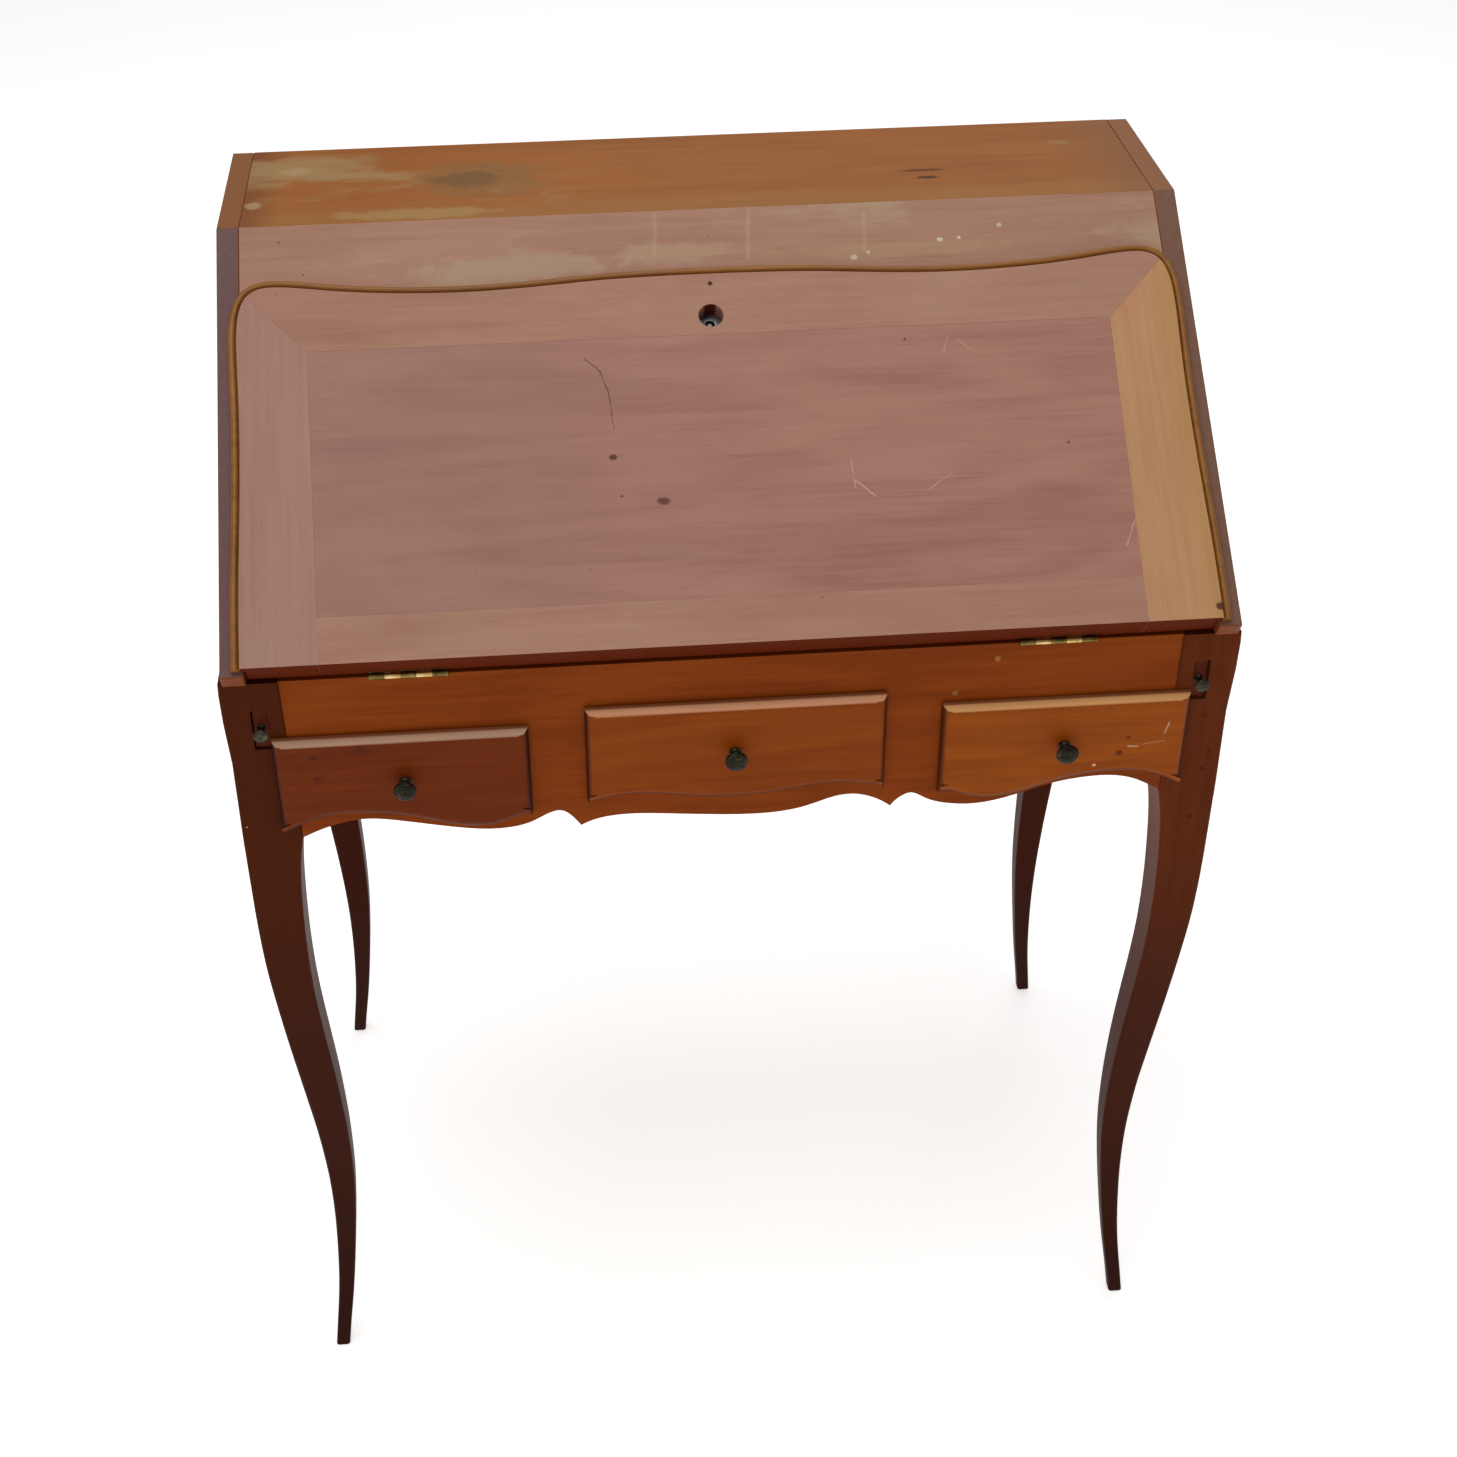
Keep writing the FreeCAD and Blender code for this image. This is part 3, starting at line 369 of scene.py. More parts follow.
def metal(name, base, dark, light, rough=0.42, metallic=1.0, scale=160.0, seed=0.0, bump=0.35, spec=0.5):
    g = Nodes(name)
    P = g.node("ShaderNodeTexCoord").outputs["Object"]
    n1 = g.noise(P, scale, 5.0, 0.6, 0.3, seed)
    n2 = g.noise(P, scale * 5, 3.0, 0.6, 0.0, seed + 4)
    ramp = g.node("ShaderNodeValToRGB", {0: n1})
    cr = ramp.color_ramp
    cr.elements[0].position, cr.elements[0].color = 0.34, srgb(*dark)
    cr.elements[1].position, cr.elements[1].color = 0.70, srgb(*light)
    cr.elements.new(0.52).color = srgb(*base)
    bv = g.node("ShaderNodeBevel", {"Radius": 0.0006}, samples=4)
    geo = g.node("ShaderNodeNewGeometry")
    em = g.step(g.math("SUBTRACT", 1.0, g.vec("DOT_PRODUCT", bv.outputs[0], geo.outputs["Normal"])), 0.02, 0.2)
    color = g.mix(g.math("MULTIPLY", em, 0.5), ramp.outputs[0], srgb(*[min(255, c * 1.35) for c in light]))
    r = g.math("ADD", g.math("MULTIPLY", n2, 0.24), rough - 0.12)
    return g.finish(color, r, n2, 0.00012, bump, metallic=metallic, spec=spec)


def sl(x, s, h=8.0):
    """A point on the slope, for a mark."""
    return slope_pt(x, s, h)


def face(x, z, y=None):
    """A point on the front, for a mark."""
    return (x, LIP_Y if y is None else y, z)


LIP_Y = YF - 8.7
DK, PALE = (44, 22, 16), (214, 190, 160)
RAIL = dict(base=(137, 59, 4), dark=(110, 42, 2), light=(158, 78, 10))
M_TOP = wood("top_cherry", (160, 98, 49), (136, 77, 33), (174, 116, 66), seed=1.0, worn=(164, 134, 92),
             spec=0.05, worn_amt=0.80, worn_scale=4.2, worn_zone=((-1, 0, 0), -0.12, 0.16), edge=(176, 122, 52), edge_amt=0.75,
             rough=0.44, specks=0.5, coat=0.0,
             tone=[((0, -1, 0), -0.115, -0.085, (158, 122, 72), 0.30), ((1, 0, 0), 0.30, 0.38, (132, 94, 62), 0.6),
                   ((-1, 0, 0), 0.335, 0.375, (112, 66, 44), 0.65)],
             spots=[((-178, 158, HT), (64, 46, 12), (138, 104, 64), 0.60), ((-190, 158, HT), (34, 20, 12), (104, 78, 48), 0.5),
                    ((-331, 190, HT), (17, 11, 9), (176, 144, 104), 0.7), ((-364, 118, HT), (9, 8, 9), (176, 150, 108), 0.7),
                    ((-230, 88, HT), (74, 13, 9), (170, 140, 92), 0.6), ((192, 138, HT), (26, 3.2, 6), (84, 44, 22), 0.75),
                    ((193, 122, HT), (10, 3.4, 6), (66, 32, 20), 0.8), ((318, 190, HT), (11, 6, 9), (164, 132, 98), 0.4)],
             marks=[((-226, 150, HT), (-184, 197, HT), 1.0, (96, 66, 40), 0.6),
                    ((-184, 197, HT), (-126, 138, HT), 1.0, (96, 66, 40), 0.6),
                    ((-228, 148, HT), (-168, 116, HT), 0.9, (92, 62, 38), 0.5)])
# The slope pieces' pale mauve-pink colours are partly the cherry's own faded colour and partly a painted sky reflection
# on the upward-tilted slope.
M_FASCIA = wood("fascia_cherry", (177, 134, 113), (156, 111, 92), (191, 152, 129), slope=True, seed=2.4,
                worn=(184, 160, 130), worn_amt=0.55, worn_scale=5.0, edge=(180, 128, 62), edge_amt=0.55, rough=0.46, spec=0.05,
                coat=0.0, specks=0.6,
                spots=[(sl(-150, 47, 0), (105, 14, 14), (182, 158, 132), 0.55), (sl(-30, 40, 0), (60, 12, 12), (186, 158, 128), 0.5),
                       (sl(150, 44, 0), (120, 8, 8), (182, 150, 112), 0.45), (sl(191, 37, 0), (3, 2, 3), (218, 204, 180), 0.9),
                       (sl(207, 36, 0), (2.4, 1.6, 3), (218, 204, 180), 0.9), (sl(120, 50, 0), (4, 3, 4), (214, 196, 166), 0.8),
                       (sl(132, 46, 0), (2.4, 1.8, 3), (214, 196, 166), 0.8), (sl(241, 26, 0), (3, 2, 3), (206, 190, 166), 0.8)],
                marks=[(sl(-38, 4, 0), sl(-41, 40, 0), 4.0, PALE, 0.22), (sl(38, 2, 0), sl(34, 46, 0), 4.5, PALE, 0.24),
                       (sl(132, 10, 0), sl(129, 44, 0), 3.5, PALE, 0.20)])
M_FIELD = wood("fall_field_cherry", (175, 127, 111), (152, 104, 90), (188, 142, 124), slope=True, seed=5.2, ring=1.0, streak=0.42,
               spec=0.05, worn=(178, 138, 116), worn_amt=0.25, rough=0.43, specks=0.75, coat=0.0,
               tone=[((-1, 0, 0), -0.1, 0.28, (156, 120, 108), 0.45)],
               marks=[(sl(-102.5, 134.7), sl(-91, 146), 1.5, DK, 0.75), (sl(-91, 146), sl(-84.7, 166), 1.5, DK, 0.75),
                      (sl(-84.7, 166), sl(-83.4, 183), 1.4, DK, 0.7), (sl(-83.4, 183), sl(-82.7, 196), 1.2, DK, 0.6),
                      (sl(99.8, 233), sl(102, 257), 1.4, PALE, 0.75), (sl(101.5, 248), sl(115.7, 262.7), 1.6, PALE, 0.75),
                      (sl(158, 260), sl(182, 244), 1.3, PALE, 0.6), (sl(192.6, 132), sl(206.6, 143), 1.2, PALE, 0.45),
                      (sl(182.7, 142), sl(187, 128), 1.1, PALE, 0.45), (sl(307, 314), sl(316, 293.6), 1.8, PALE, 0.55)],
               spots=[(sl(-84.9, 220), (4, 3, 4), DK, 0.75), (sl(-48.7, 259), (6, 4, 5), (92, 52, 40), 0.8)])
# Painted shade: the fall's downward-facing edges darkened.
DOWN_FACE_PAINTED_SHADE = ((100, 34, 8), DOWN_SLOPE, 0.80, 0.95)
M_FRAME = wood("fall_frame_cherry", (178, 132, 112), (156, 111, 91), (191, 148, 127), slope=True, seed=8.1, streak=0.38,
               worn=(184, 144, 121), worn_amt=0.3, rough=0.43, spec=0.05, specks=0.5, coat=0.0, faces=[DOWN_FACE_PAINTED_SHADE],
               spots=[(sl(1.2, 72.6), (2.6, 2.6, 2.6), DK, 0.9), (sl(4.3, 121.2), (2.2, 2.2, 2.2), DK, 0.85)])
M_STILE_L = wood("fall_stile_left_cherry", (173, 132, 117), (151, 111, 96), (185, 147, 130), grain="Y", slope=True,
                 seed=12.0, streak=0.38, worn=(182, 144, 123), worn_amt=0.3, spec=0.05, rough=0.43, specks=0.5, coat=0.0, faces=[DOWN_FACE_PAINTED_SHADE])
M_STILE_R = wood("fall_stile_right_cherry", (198, 147, 110), (175, 123, 86), (210, 163, 124), grain="Y", slope=True,
                 seed=15.0, streak=0.40, worn=(196, 156, 110), worn_amt=0.35, spec=0.05, rough=0.43, specks=0.5, coat=0.0, faces=[DOWN_FACE_PAINTED_SHADE],
                 tone=[((1, 0, 0), 0.345, 0.375, (184, 142, 78), 0.55)],
                 spots=[(sl(372, 369), (5, 4, 5), (70, 26, 30), 0.85)])
M_MOULD = wood("moulding_cherry", (148, 94, 34), (114, 66, 20), (172, 118, 50), slope=True, seed=18.0,
               edge=(186, 134, 66), edge_amt=0.4, rough=0.38, coat=0.05, specks=0.2)
# Both side materials paint by face direction: upward faces lighter as painted light, and faces along the slope a
# mauve-grey painted sky reflection; the right-hand copy carries its own tints of these.
M_SIDE = wood("side_cherry", (128, 64, 28), (102, 46, 17), (150, 84, 42), grain="Z", seed=21.0,
              edge=(150, 106, 74), edge_amt=0.8, rough=0.42, coat=0.0, spec=0.10,
              faces=[((152, 97, 56), (0, 0, 1), 0.93, 0.99), ((122, 89, 88), UP_NORMAL, 0.93, 0.99)])
M_SIDE_R = wood("side_right_cherry", (128, 64, 28), (102, 46, 17), (150, 84, 42), grain="Z", seed=22.0,
                edge=(186, 146, 104), edge_amt=0.8, rough=0.42, coat=0.0, spec=0.10,
                faces=[((152, 97, 56), (0, 0, 1), 0.93, 0.99), ((136, 100, 82), UP_NORMAL, 0.93, 0.99)])
M_RAIL = wood("rail_cherry", seed=24.0, ring=0.9, edge=(166, 92, 30), edge_amt=0.3, rough=0.40, coat=0.0, spec=0.06,
              spots=[((203.6, YF, 741), (3, 3, 3), (170, 120, 50), 0.75), ((172, YF, 711), (2.4, 3, 2.4), (150, 110, 60), 0.7)],
              **RAIL)
M_DRAWER = []
for k, (base, dark, light, mk, sp) in enumerate([
        ((113, 44, 4), (90, 31, 2), (134, 60, 9), [],
         [(face(-327.5, 688), (4, 4, 2.6), (70, 26, 10), 0.7), (face(-292, 694), (8, 5, 5), (84, 34, 14), 0.6),
          (face(-326.6, 668.6), (4, 4, 2.4), (74, 28, 10), 0.6)]),
        ((139, 62, 5), (114, 45, 2), (160, 80, 11), [], []),
        ((149, 70, 7), (122, 51, 4), (172, 90, 16),
         [(face(343, 677.8), face(340.2, 668), 1.4, PALE, 0.8), (face(312.8, 656.9), face(320.2, 656.8), 1.7, PALE, 0.85),
          (face(323.5, 658), face(341.8, 660.2), 0.9, PALE, 0.45)],
         [(face(286.2, 640.2), (1.8, 3, 1.4), (216, 180, 130), 0.9), (face(305.9, 651.3), (3, 3, 3), (88, 34, 14), 0.8),
          (face(311.9, 665.4), (2.2, 3, 2.2), (96, 38, 14), 0.75)])]):
    M_DRAWER.append(wood("drawer_front_cherry_%d" % k, base, dark, light, seed=27.0 + 3 * k, ring=0.9,
                         edge=(188, 118, 74), edge_amt=0.30, edge_r=0.002, rough=0.38, coat=0.0, spec=0.07,
                         marks=mk, spots=sp,
                         # Painted light and shade by face direction: upward faces lighter, a painted sheen highlight
                         # along the rounded top edge, painted shade on downward faces and painted shadow on the end
                         # faces.
                         faces=[((150, 88, 56), (0, 0, 1), 0.25, 0.90),
                                (((208, 164, 134), (236, 168, 126), (240, 176, 114))[k], (0, -0.75, 0.66), 0.84, 0.97),
                                (((58, 20, 4), (74, 28, 5), (84, 34, 6))[k], (0, 0, -1), 0.18, 0.70),
                                (((60, 21, 5), (78, 30, 6), (86, 36, 8))[k], (1, 0, 0), 0.30, 0.85),
                                (((60, 21, 5), (78, 30, 6), (86, 36, 8))[k], (-1, 0, 0), 0.30, 0.85)]))
M_LEG = wood("leg_cherry", (98, 42, 12), (76, 29, 7), (118, 54, 18), grain="Z", seed=40.0, rough=0.44, coat=0.0,
             edge=(140, 74, 42), edge_amt=0.3, specks=0.6, spec=0.04,
             # The first tone is painted shade, darkening the legs towards the left to even out the light between left
             # and right; the other two darken the legs towards the floor.
             tone=[((1, 0, 0), 0.1, -0.30, (68, 24, 3), 0.75), ((0, 0, 1), 0.60, 0.30, (56, 19, 7), 0.8), ((0, 0, 1), 0.30, 0.03, (44, 16, 8), 0.7)],
             spots=[((374.6, YF - 3, 676.7), (4, 6, 4), (60, 20, 14), 0.8), ((378, YF - 3, 625), (3, 6, 3.4), (60, 20, 14), 0.75),
                    ((382, YF - 3, 641), (2.4, 6, 2.4), (60, 20, 14), 0.7), ((373.7, YF - 3, 575.7), (3, 6, 3), (60, 20, 14), 0.7),
                    ((-387.5, YF - 3, 619), (1.6, 5, 1.6), (220, 200, 180), 0.9)])
M_LOPER = wood("loper_cherry", (104, 42, 22), (80, 28, 14), (126, 58, 34), grain="Y", seed=44.0,
               edge=(150, 84, 62), edge_amt=0.5, rough=0.45, coat=0.0, spec=0.06)
M_BACK = wood("back_stained", (124, 82, 50), (98, 62, 36), (148, 102, 64), seed=47.0, rough=0.62, coat=0.0, ring=0.9)
M_BOX = wood("drawer_box_pale", (190, 150, 104), (164, 122, 78), (208, 172, 124), grain="Y", seed=50.0, rough=0.60,
             coat=0.0, ring=0.6)
M_INNER = wood("inner_cherry", (166, 112, 70), (138, 88, 52), (186, 134, 88), seed=53.0, rough=0.52, coat=0.03)
M_KNOB = metal("knob_bronze_patina", (38, 33, 24), (20, 17, 12), (72, 65, 46), rough=0.34, seed=1.0, metallic=0.85)
M_LKNOB = metal("loper_knob_bronze_patina", (58, 55, 44), (32, 30, 22), (90, 86, 66), rough=0.40, seed=3.0,
                metallic=0.85)
M_BRASS_A = metal("hinge_brass_dull", (132, 112, 58), (92, 78, 42), (168, 146, 84), rough=0.38, seed=5.0)
M_BRASS_B = metal("hinge_brass_bright", (224, 188, 122), (180, 142, 80), (240, 212, 154), rough=0.30, seed=7.0)
M_STEEL = metal("lock_steel_worn", (140, 142, 146), (96, 96, 98), (180, 182, 186), rough=0.36, seed=9.0)

# ------------------------------------------------------------------- legs ---
LEG_G = [(0, -14.4), (29, -17.9), (58, -21.4), (88, -24.0), (117, -25.6), (146, -26.6), (175, -26.8), (205, -26.1),
         (234, -24.4), (263, -22.1), (292, -19.1), (322, -15.8), (351, -12.6), (380, -9.5), (409, -6.6), (439, -3.8),
         (468, -1.5), (497, 0.0), (526, 0.9), (556, 1.4), (585, 1.8), (614, 2.0), (643, 1.9), (673, 1.8), (702, 2.7),
         (731, 4.4), (755, 4.0)]
LEG_W = [(0, 12.6), (29, 13.0), (58, 13.8), (88, 15.0), (117, 16.5), (146, 18.3), (175, 20.4), (205, 22.6),
         (234, 24.6), (263, 26.5), (292, 28.4), (322, 30.1), (351, 31.3), (380, 32.2), (409, 33.0), (439, 34.1),
         (468, 35.6), (497, 37.0), (526, 38.5), (556, 40.3), (585, 43.6)]


def lean(z):
    return 9.8 - 0.02 * z if z < 600 else -2.2


def leg_edges(side_view):
    add = lean if side_view else (lambda z: 0.0)
    outer = cubic([z for z, _ in LEG_G], [v + add(z) for z, v in LEG_G])
    low, top = (-47.6, -43.6) if side_view else (344.5 - W, 348.6 - W)
    zs = [z for z, _ in LEG_W] + [606.0]
    vs = [v + add(z) - w for (z, w), (_, v) in zip(LEG_W, LEG_G)] + [low]
    inner = cubic(zs, vs)
    return outer, lambda z: inner(z) if z <= 606 else low + (top - low) * (z - 606) / (755 - 606)


X_OUT, X_IN = leg_edges(False)
Y_OUT, Y_IN = leg_edges(True)


def rounded_rect(x0, x1, y0, y1, r, n=6):
    out = []
    for cx, cy, a0 in ((x1 - r, y1 - r, 0), (x0 + r, y1 - r, 90), (x0 + r, y0 + r, 180), (x1 - r, y0 + r, 270)):
        for k in range(n + 1):
            a = math.radians(a0 + 90.0 * k / n)
            out.append((cx + r * math.cos(a), cy + r * math.sin(a)))
    return out


def make_leg(fb, lr):
    fs, datum = (-1, YF) if fb == "front" else (1, YB)
    sx = -1 if lr == "left" else 1
    levels = [0.0, 0.4, 1.2] + list(np.linspace(8, 600, 96)) + [606.0, 614, 640, 680, 720, 745, 755.0]
    verts, faces, count = [], [], None
    for z in levels:
        inset = {0.0: 1.0, 0.4: 0.35}.get(z, 0.0)
        r = 2.0 + 0.9 * math.exp(-((z - 200.0) / 220.0) ** 2) if z < 600 else 1.6
        ring = rounded_rect(X_IN(z) + inset, X_OUT(z) - inset, Y_IN(z) + inset, Y_OUT(z) - inset, r)
        count = len(ring)
        verts += [(sx * (W + a), datum + fs * b, z) for a, b in ring]
    for i in range(len(levels) - 1):
        for k in range(count):
            k2 = (k + 1) % count
            faces.append((i * count + k, i * count + k2, (i + 1) * count + k2, (i + 1) * count + k))
    faces.append(tuple(range(count)))
    faces.append(tuple(range((len(levels) - 1) * count, len(levels) * count)))
    ob = add_piece("leg_%s_%s_carved" % (fb, lr), verts, faces, "case", M_LEG,
                   ["leg_%s_%s" % (fb, lr)], angle=40)
    if fb == "front":
        bm = bmesh.new()
        bmesh.ops.create_cube(bm, size=1.0)
        for v in bm.verts:
            v.co = Vector(((sx * 366.0 + v.co.x * 13.0) * MM, (YF + 25 + v.co.y * 90.0) * MM,
                           (711.75 + v.co.z * 37.5) * MM))
        me = bpy.data.meshes.new("slot_tool")
        bm.to_mesh(me)
        bm.free()
        tool = bpy.data.objects.new("slot_tool", me)
        COL.objects.link(tool)
        mod = ob.modifiers.new("slot", "BOOLEAN")
        mod.operation, mod.object, mod.solver = "DIFFERENCE", tool, "EXACT"
        bpy.context.view_layer.update()
        done = bpy.data.meshes.new_from_object(ob.evaluated_get(bpy.context.evaluated_depsgraph_get()))
        ob.modifiers.clear()
        ob.data = done
        bpy.data.objects.remove(tool)
        done.set_sharp_from_angle(angle=math.radians(40))
    return weighted(ob)


for fb in ("front", "back"):
    for lr in ("left", "right"):
        make_leg(fb, lr)

# ---------------------------------------------------------- drawer fronts ---
OUTER_EDGE = [(161.8, 619.0), (168.0, 620.3), (180.0, 616.3), (203.0, 611.6), (226.0, 614.8), (250.0, 622.4),
              (276.0, 628.6), (300.0, 630.6), (318.0, 629.8), (338.0, 624.4), (350.0, 618.6), (358.6, 613.8)]
MID_EDGE = [(-118.2, 627.6), (-102.0, 632.0), (-80.0, 634.0), (-50.0, 631.3), (-18.0, 627.3), (0, 626.9),
            (18.0, 627.3), (50.0, 631.6), (80.0, 634.5), (102.0, 631.8), (118.2, 627.4)]
LIP_FRONT = YF - 8.7


def make_front(side, edge, top, x0, x1, z0, z1, mat):
    low = curve_through(edge, 72)
    grow = [(0 if abs(p[0]) < 200 else math.copysign(1.0, p[0])) for p in (low[0], low[-1])]
    a, b = low[0], low[-1]
    tr, tl = (b[0] + grow[1], top), (a[0] + grow[0], top)
    side_pts = lambda p, q, n: [(p[0] + (q[0] - p[0]) * k / n, p[1] + (q[1] - p[1]) * k / n) for k in range(1, n)]
    outline = low + side_pts(b, tr, 6) + [tr] + side_pts(tr, tl, 24) + [tl] + side_pts(tl, a, 6)
    R, steps = 7.2, 12
    rings = [(0.0, YF - 0.9)]
    for k in range(steps + 1):
        th = math.radians(90.0 * k / steps)
        rings.append((R * (1 - math.cos(th)), LIP_FRONT + 6.9 * (1 - math.sin(th))))
    rings += [(R + 0.8, LIP_FRONT)]
    verts, faces, n = [], [], len(outline)
    for d, y in rings:
        verts += [(p[0], y, p[1]) for p in (offset_closed(outline, d) if d else outline)]
    for i in range(len(rings) - 1):
        for k in range(n):
            k2 = (k + 1) % n
            faces.append((i * n + k, i * n + k2, (i + 1) * n + k2, (i + 1) * n + k))
    faces.append(tuple(range(n)))
    faces.append(tuple(range((len(rings) - 1) * n, len(rings) * n)))
    base = len(verts)
    c = 0.8
    for y, inset in ((YF - 1.2, 0.0), (YF + 12.0 - c, 0.0), (YF + 12.0, c)):
        verts += [(x0 + inset, y, z0 + inset), (x1 - inset, y, z0 + inset), (x1 - inset, y, z1 - inset),
                  (x0 + inset, y, z1 - inset)]
    for i in range(2):
        for k in range(4):
            k2 = (k + 1) % 4
            faces.append((base + i * 4 + k, base + i * 4 + k2, base + i * 4 + 4 + k2, base + i * 4 + 4 + k))
    faces += [(base, base + 1, base + 2, base + 3), (base + 8, base + 9, base + 10, base + 11)]
    return weighted(add_piece("drawer_%s_front_moulded" % side, verts, faces, side + "_drawer",
                              mat, ["drawer_%s_front" % side], angle=34))


make_front("left", [(-a, b) for a, b in OUTER_EDGE][::-1], 703.5, -341.5, -170.0, 636.0, 695.5, M_DRAWER[0])
make_front("middle", MID_EDGE, 717.0, -111.5, 111.5, 642.0, 707.5, M_DRAWER[1])
make_front("right", OUTER_EDGE, 703.5, 170.0, 341.5, 636.0, 695.5, M_DRAWER[2])


# ------------------------------------------------------------------ knobs ---
def make_knob(name, node, R, L, x, y, z, body, mat, segs=64):
    k = R / 9.0
    outer = curve_through([(5.2 * k, 1.2 * k), (3.9 * k, 2.6 * k), (3.6 * k, L * 0.42), (4.6 * k, L * 0.60),
                           (R - 0.9 * k, L - 4.4 * k)], 16)
    prof = [(0.0, -0.6), (4.9 * k, -0.6), (5.2 * k, 0.3 * k), (5.2 * k, 0.9 * k)] + outer
    prof += [(R - 0.25 * k, L - 3.8 * k), (R, L - 3.1 * k), (R - 0.2 * k, L - 2.4 * k), (R - 0.7 * k, L - 1.9 * k),
             (R * 0.80, L - 1.45 * k), (R * 0.74, L - 1.5 * k), (R * 0.70, L - 1.2 * k), (R * 0.55, L - 0.8 * k),
             (R * 0.32, L - 0.5 * k), (1.9 * k, L - 0.42 * k), (1.5 * k, L - 0.75 * k), (1.0 * k, L - 0.85 * k),
             (0.55 * k, L - 0.4 * k), (0.0, L - 0.25 * k)]
    verts, faces = [], []
    rows = []
    for r, l in prof:
        if r < 1e-6:
            rows.append([len(verts)])
            verts.append((x, y - l, z))
        else:
            rows.append(list(range(len(verts), len(verts) + segs)))
            for i in range(segs):
                a = 2 * math.pi * i / segs
                verts.append((x + r * math.cos(a), y - l, z + r * math.sin(a)))
    for p, q in zip(rows, rows[1:]):
        for i in range(segs):
            j = (i + 1) % segs
            if len(p) == 1:
                faces.append((p[0], q[i], q[j]))
            elif len(q) == 1:
                faces.append((p[i], p[j], q[0]))
            else:
                faces.append((p[i], p[j], q[j], q[i]))
    return add_piece(name, verts, faces, body, mat, [node], angle=38)


for side, kx, kz in (("left", -259.5, 661.0), ("middle", -1.5, 672.0), ("right", 260.5, 661.0)):
    make_knob("drawer_%s_knob_turned" % side, "drawer_%s_knob" % side, 9.0, 15.2, kx, LIP_FRONT, kz,
              side + "_drawer", M_KNOB)
for lr, sx in (("left", -1), ("right", 1)):
    make_knob("loper_knob_%s_turned" % lr, "loper_knob_" + lr, 5.75, 13.5, sx * 366.0, YF + 3.0, 711.5,
              lr + "_loper", M_LKNOB)

# --------------------------------------------------------- fall moulding ---
OUT_HALF = [(381.3, 377.9), (381.5, 345.0), (381.1, 300.0), (379.9, 250.0), (379.4, 205.0), (379.8, 160.0),
            (381.0, 118.0), (380.9, 95.0), (378.3, 76.0), (371.5, 62.0), (359.0, 53.8), (345.0, 52.0),
            (328.0, 53.2), (298.0, 57.3), (262.0, 60.9), (238.0, 62.3), (210.0, 63.2), (182.0, 63.2),
            (155.0, 62.2), (130.0, 60.8), (105.0, 59.0), (82.0, 57.6), (56.0, 56.8), (28.0, 56.3), (0.0, 56.2)]
OUTLINE = [(a, -b) for a, b in OUT_HALF] + [(-a, -b) for a, b in OUT_HALF[:-1][::-1]]
dense = curve_through(OUTLINE, 420)
PROFILE = [(0.0, 0.3), (0.0, 3.2), (0.25, 4.6), (0.9, 5.9), (1.9, 6.8), (3.1, 7.2), (4.3, 7.0), (5.3, 6.2),
           (5.9, 5.1), (6.1, 4.2), (6.35, 3.8), (6.9, 3.7), (6.9, 0.3)]
verts, faces = [], []
n = len(dense)
for d, h in PROFILE:
    line = offset_open(dense, d)
    line[0], line[-1] = (line[0][0], -377.9), (line[-1][0], -377.9)
    verts += [slope_pt(x, -y, h) for x, y in line]
m = len(PROFILE)
for i in range(m):
    i2 = (i + 1) % m
    for k in range(n - 1):
        faces.append((i * n + k, i * n + k + 1, i2 * n + k + 1, i2 * n + k))
faces.append(tuple(i * n for i in range(m)))
faces.append(tuple(i * n + n - 1 for i in range(m)))
weighted(add_piece("fall_edge_moulding_run", verts, faces, "fall", M_MOULD,
                   ["fall_edge_moulding"], angle=40))

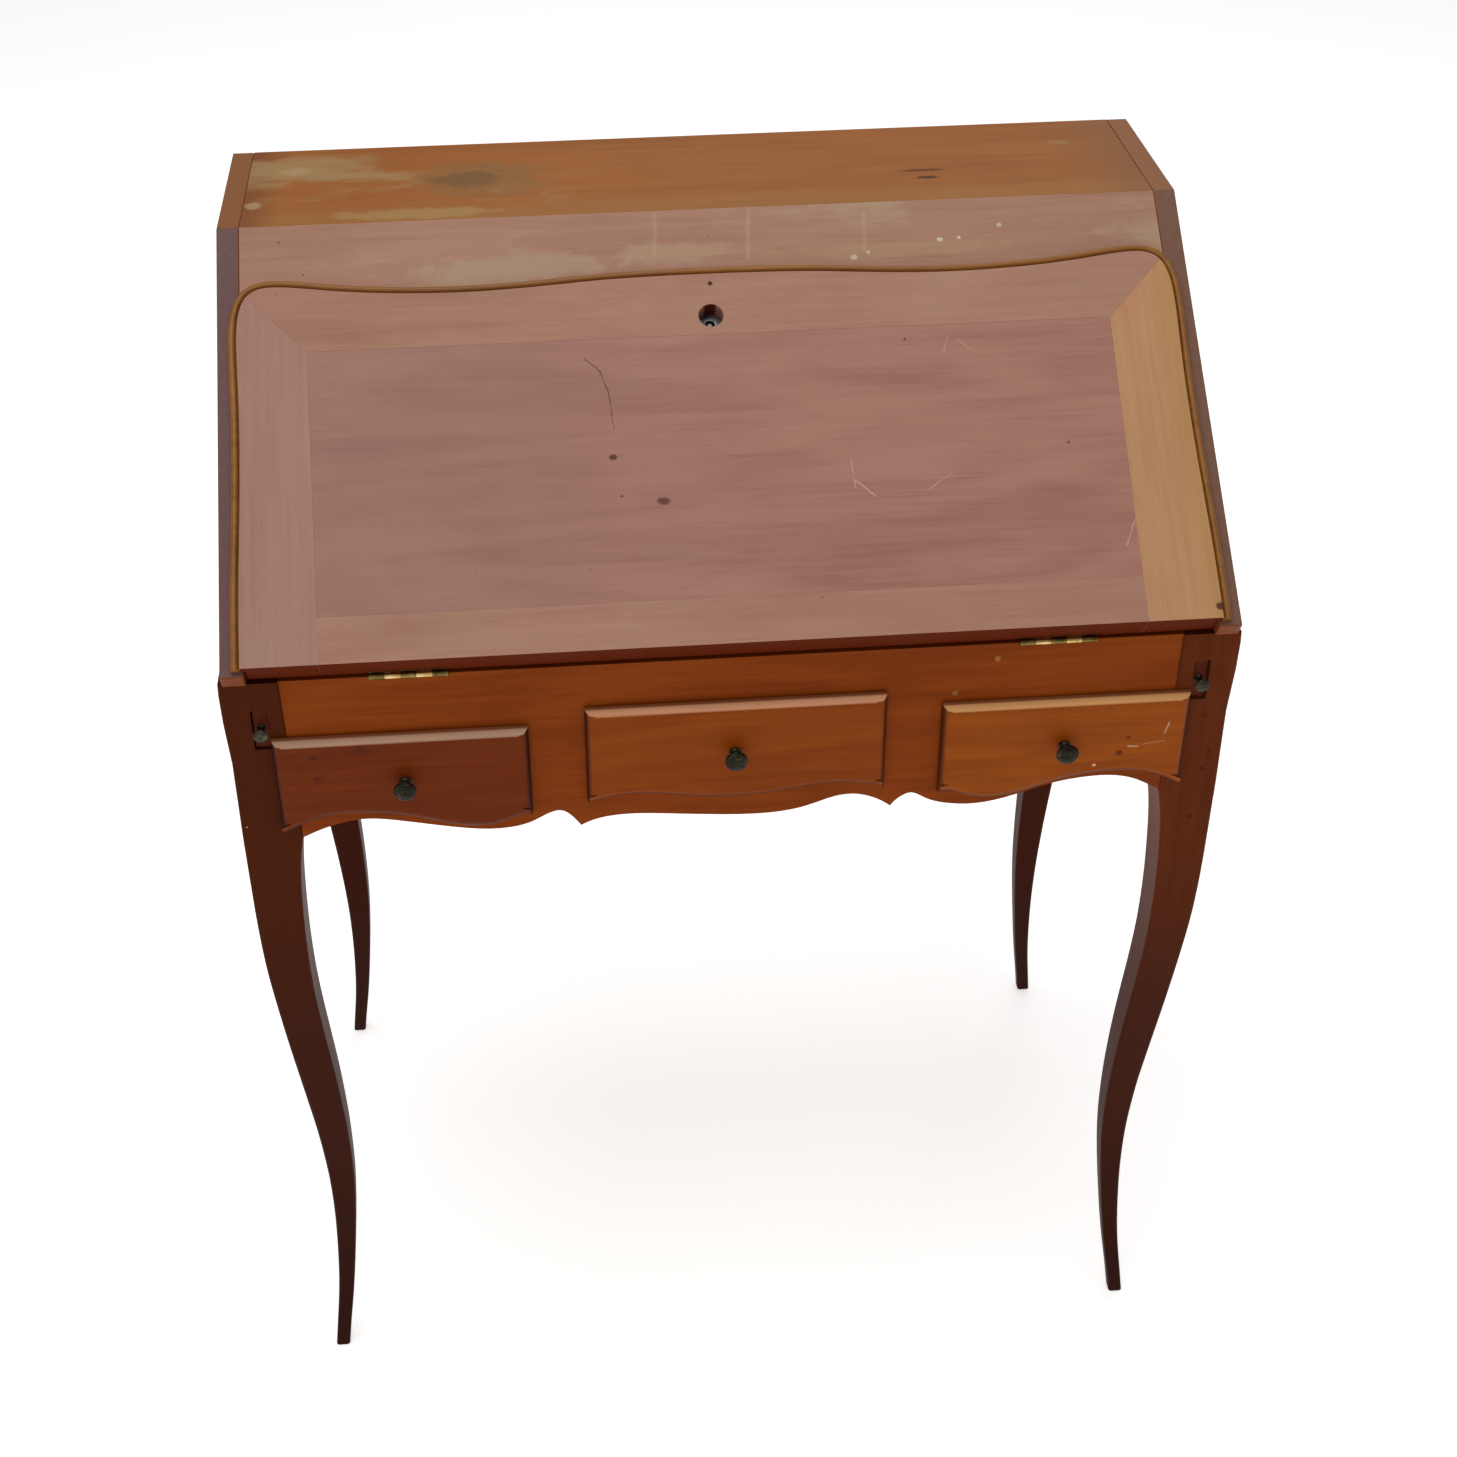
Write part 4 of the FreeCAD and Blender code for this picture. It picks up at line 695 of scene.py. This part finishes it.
# -------------------------------------------------------- finished copies ---
C, F = "case", "fall"
for args in [
    ("top_board", C, "top_wood", M_TOP, 0.6), ("slope_fascia", C, "fascia_wood", M_FASCIA, 0.4),
    ("side_panel_left", C, "side_wood", M_SIDE, 1.1), ("side_panel_right", C, "side_wood", M_SIDE_R, 1.1),
    ("side_apron_left", C, "side_wood", M_SIDE, 0.8), ("side_apron_right", C, "side_wood", M_SIDE_R, 0.8),
    ("front_rail", C, "rail_wood", M_RAIL, 0.6), ("back_rail", C, "back_wood", M_BACK, 0.6),
    ("back_panel", C, "back_wood", M_BACK, 0.4), ("writing_bed", C, "inner_wood", M_INNER, 0.4),
    ("gallery_shelf", C, "inner_wood", M_INNER, 0.7), ("gallery_dividers", C, "inner_wood", M_INNER, 0.7),
    ("drawer_bearer_left", C, "inner_wood", M_INNER, 0.4), ("drawer_bearer_right", C, "inner_wood", M_INNER, 0.4),
    ("loper_guide_left", C, "inner_wood", M_INNER, 0.4), ("loper_guide_right", C, "inner_wood", M_INNER, 0.4),
    ("fall_centre_panel", F, "fall_field_wood", M_FIELD, 0.22),
    ("fall_top_rail", F, "fall_frame_wood", M_FRAME, 0.22), ("fall_bottom_rail", F, "fall_frame_wood", M_FRAME, 0.22),
    ("fall_stile_left", F, "fall_frame_wood", M_STILE_L, 0.22),
    ("fall_stile_right", F, "fall_frame_wood", M_STILE_R, 0.22),
    ("loper_left", "left_loper", "loper_wood", M_LOPER, 0.9),
    ("loper_right", "right_loper", "loper_wood", M_LOPER, 0.9),
    ("hinge_leaf_lower_left", C, "hinge_brass", M_BRASS_A, 0.15),
    ("hinge_leaf_lower_right", C, "hinge_brass", M_BRASS_A, 0.15),
    ("hinge_leaf_upper_left", F, "hinge_brass", M_BRASS_B, 0.15),
    ("hinge_leaf_upper_right", F, "hinge_brass", M_BRASS_B, 0.15),
    ("hinge_pins", C, "hinge_brass", M_BRASS_A, 0.15), ("hinge_screws_lower", C, "hinge_brass", M_BRASS_A, 0.12),
    ("hinge_screws_upper", F, "hinge_brass", M_BRASS_B, 0.12), ("loper_stop_pins", C, "inner_wood", M_INNER, 0.4),
    ("lock_case", F, "lock_steel", M_STEEL, 0.15), ("lock_cap_plate", F, "lock_steel", M_STEEL, 0.2),
    ("lock_bolt", "bolt", "lock_steel", M_STEEL, 0.3), ("lock_strike_plate", C, "lock_steel", M_STEEL, 0.12),
]:
    refine(*args)
for side in ("left", "middle", "right"):
    for part in ("side_left", "side_right", "back", "bottom"):
        refine("drawer_%s_%s" % (side, part), side + "_drawer", "drawer_box_wood", M_BOX, 0.5)

# ------------------------------------------------------- floor and lights ---
g = Nodes("pale_floor")
P = g.node("ShaderNodeTexCoord").outputs["Object"]
tint = g.mix(g.noise(P, 1.5, 3.0), srgb(247, 247, 247), srgb(251, 251, 251))
floor_mat = g.finish(tint, 0.85, g.noise(P, 60.0, 3.0), 0.0002, 0.1, spec=0.2)
for nd in floor_mat.node_tree.nodes:  # a lit table, as in a product studio
    if nd.type == "BSDF_PRINCIPLED":
        nd.inputs["Emission Color"].default_value = (1, 1, 1, 1)
        nd.inputs["Emission Strength"].default_value = 0.55
fm = bpy.data.meshes.new("floor")
fm.from_pydata([(-15, -15, 0), (15, -15, 0), (15, 15, 0), (-15, 15, 0)], [], [(0, 1, 2, 3)])
fm.materials.append(floor_mat)
floor = bpy.data.objects.new("floor", fm)
COL.objects.link(floor)

world = bpy.data.worlds.new("studio")
world.use_nodes = True
world.node_tree.nodes["Background"].inputs[0].default_value = (0.96, 0.98, 1.0, 1.0)
world.node_tree.nodes["Background"].inputs[1].default_value = 0.28
scene.world = world


def area(name, loc, target, size, power, color=(1, 1, 1)):
    ld = bpy.data.lights.new(name, "AREA")
    ld.shape, ld.size, ld.energy, ld.color = "DISK", size, power, color
    ob = bpy.data.objects.new(name, ld)
    COL.objects.link(ob)
    ob.location = loc
    ob.rotation_euler = (Vector(target) - Vector(loc)).to_track_quat("-Z", "Y").to_euler()
    return ob


area("overhead_soft", (-0.5, -0.4, 4.2), (0, 0, 0.6), 3.4, 70)
area("rear_soft", (0.9, 2.8, 3.2), (0, 0, 0.6), 2.6, 20, (1.0, 0.98, 0.95))
area("front_fill", (-1.2, -3.6, 2.2), (0, 0, 0.5), 2.4, 12, (1.0, 0.97, 0.93))
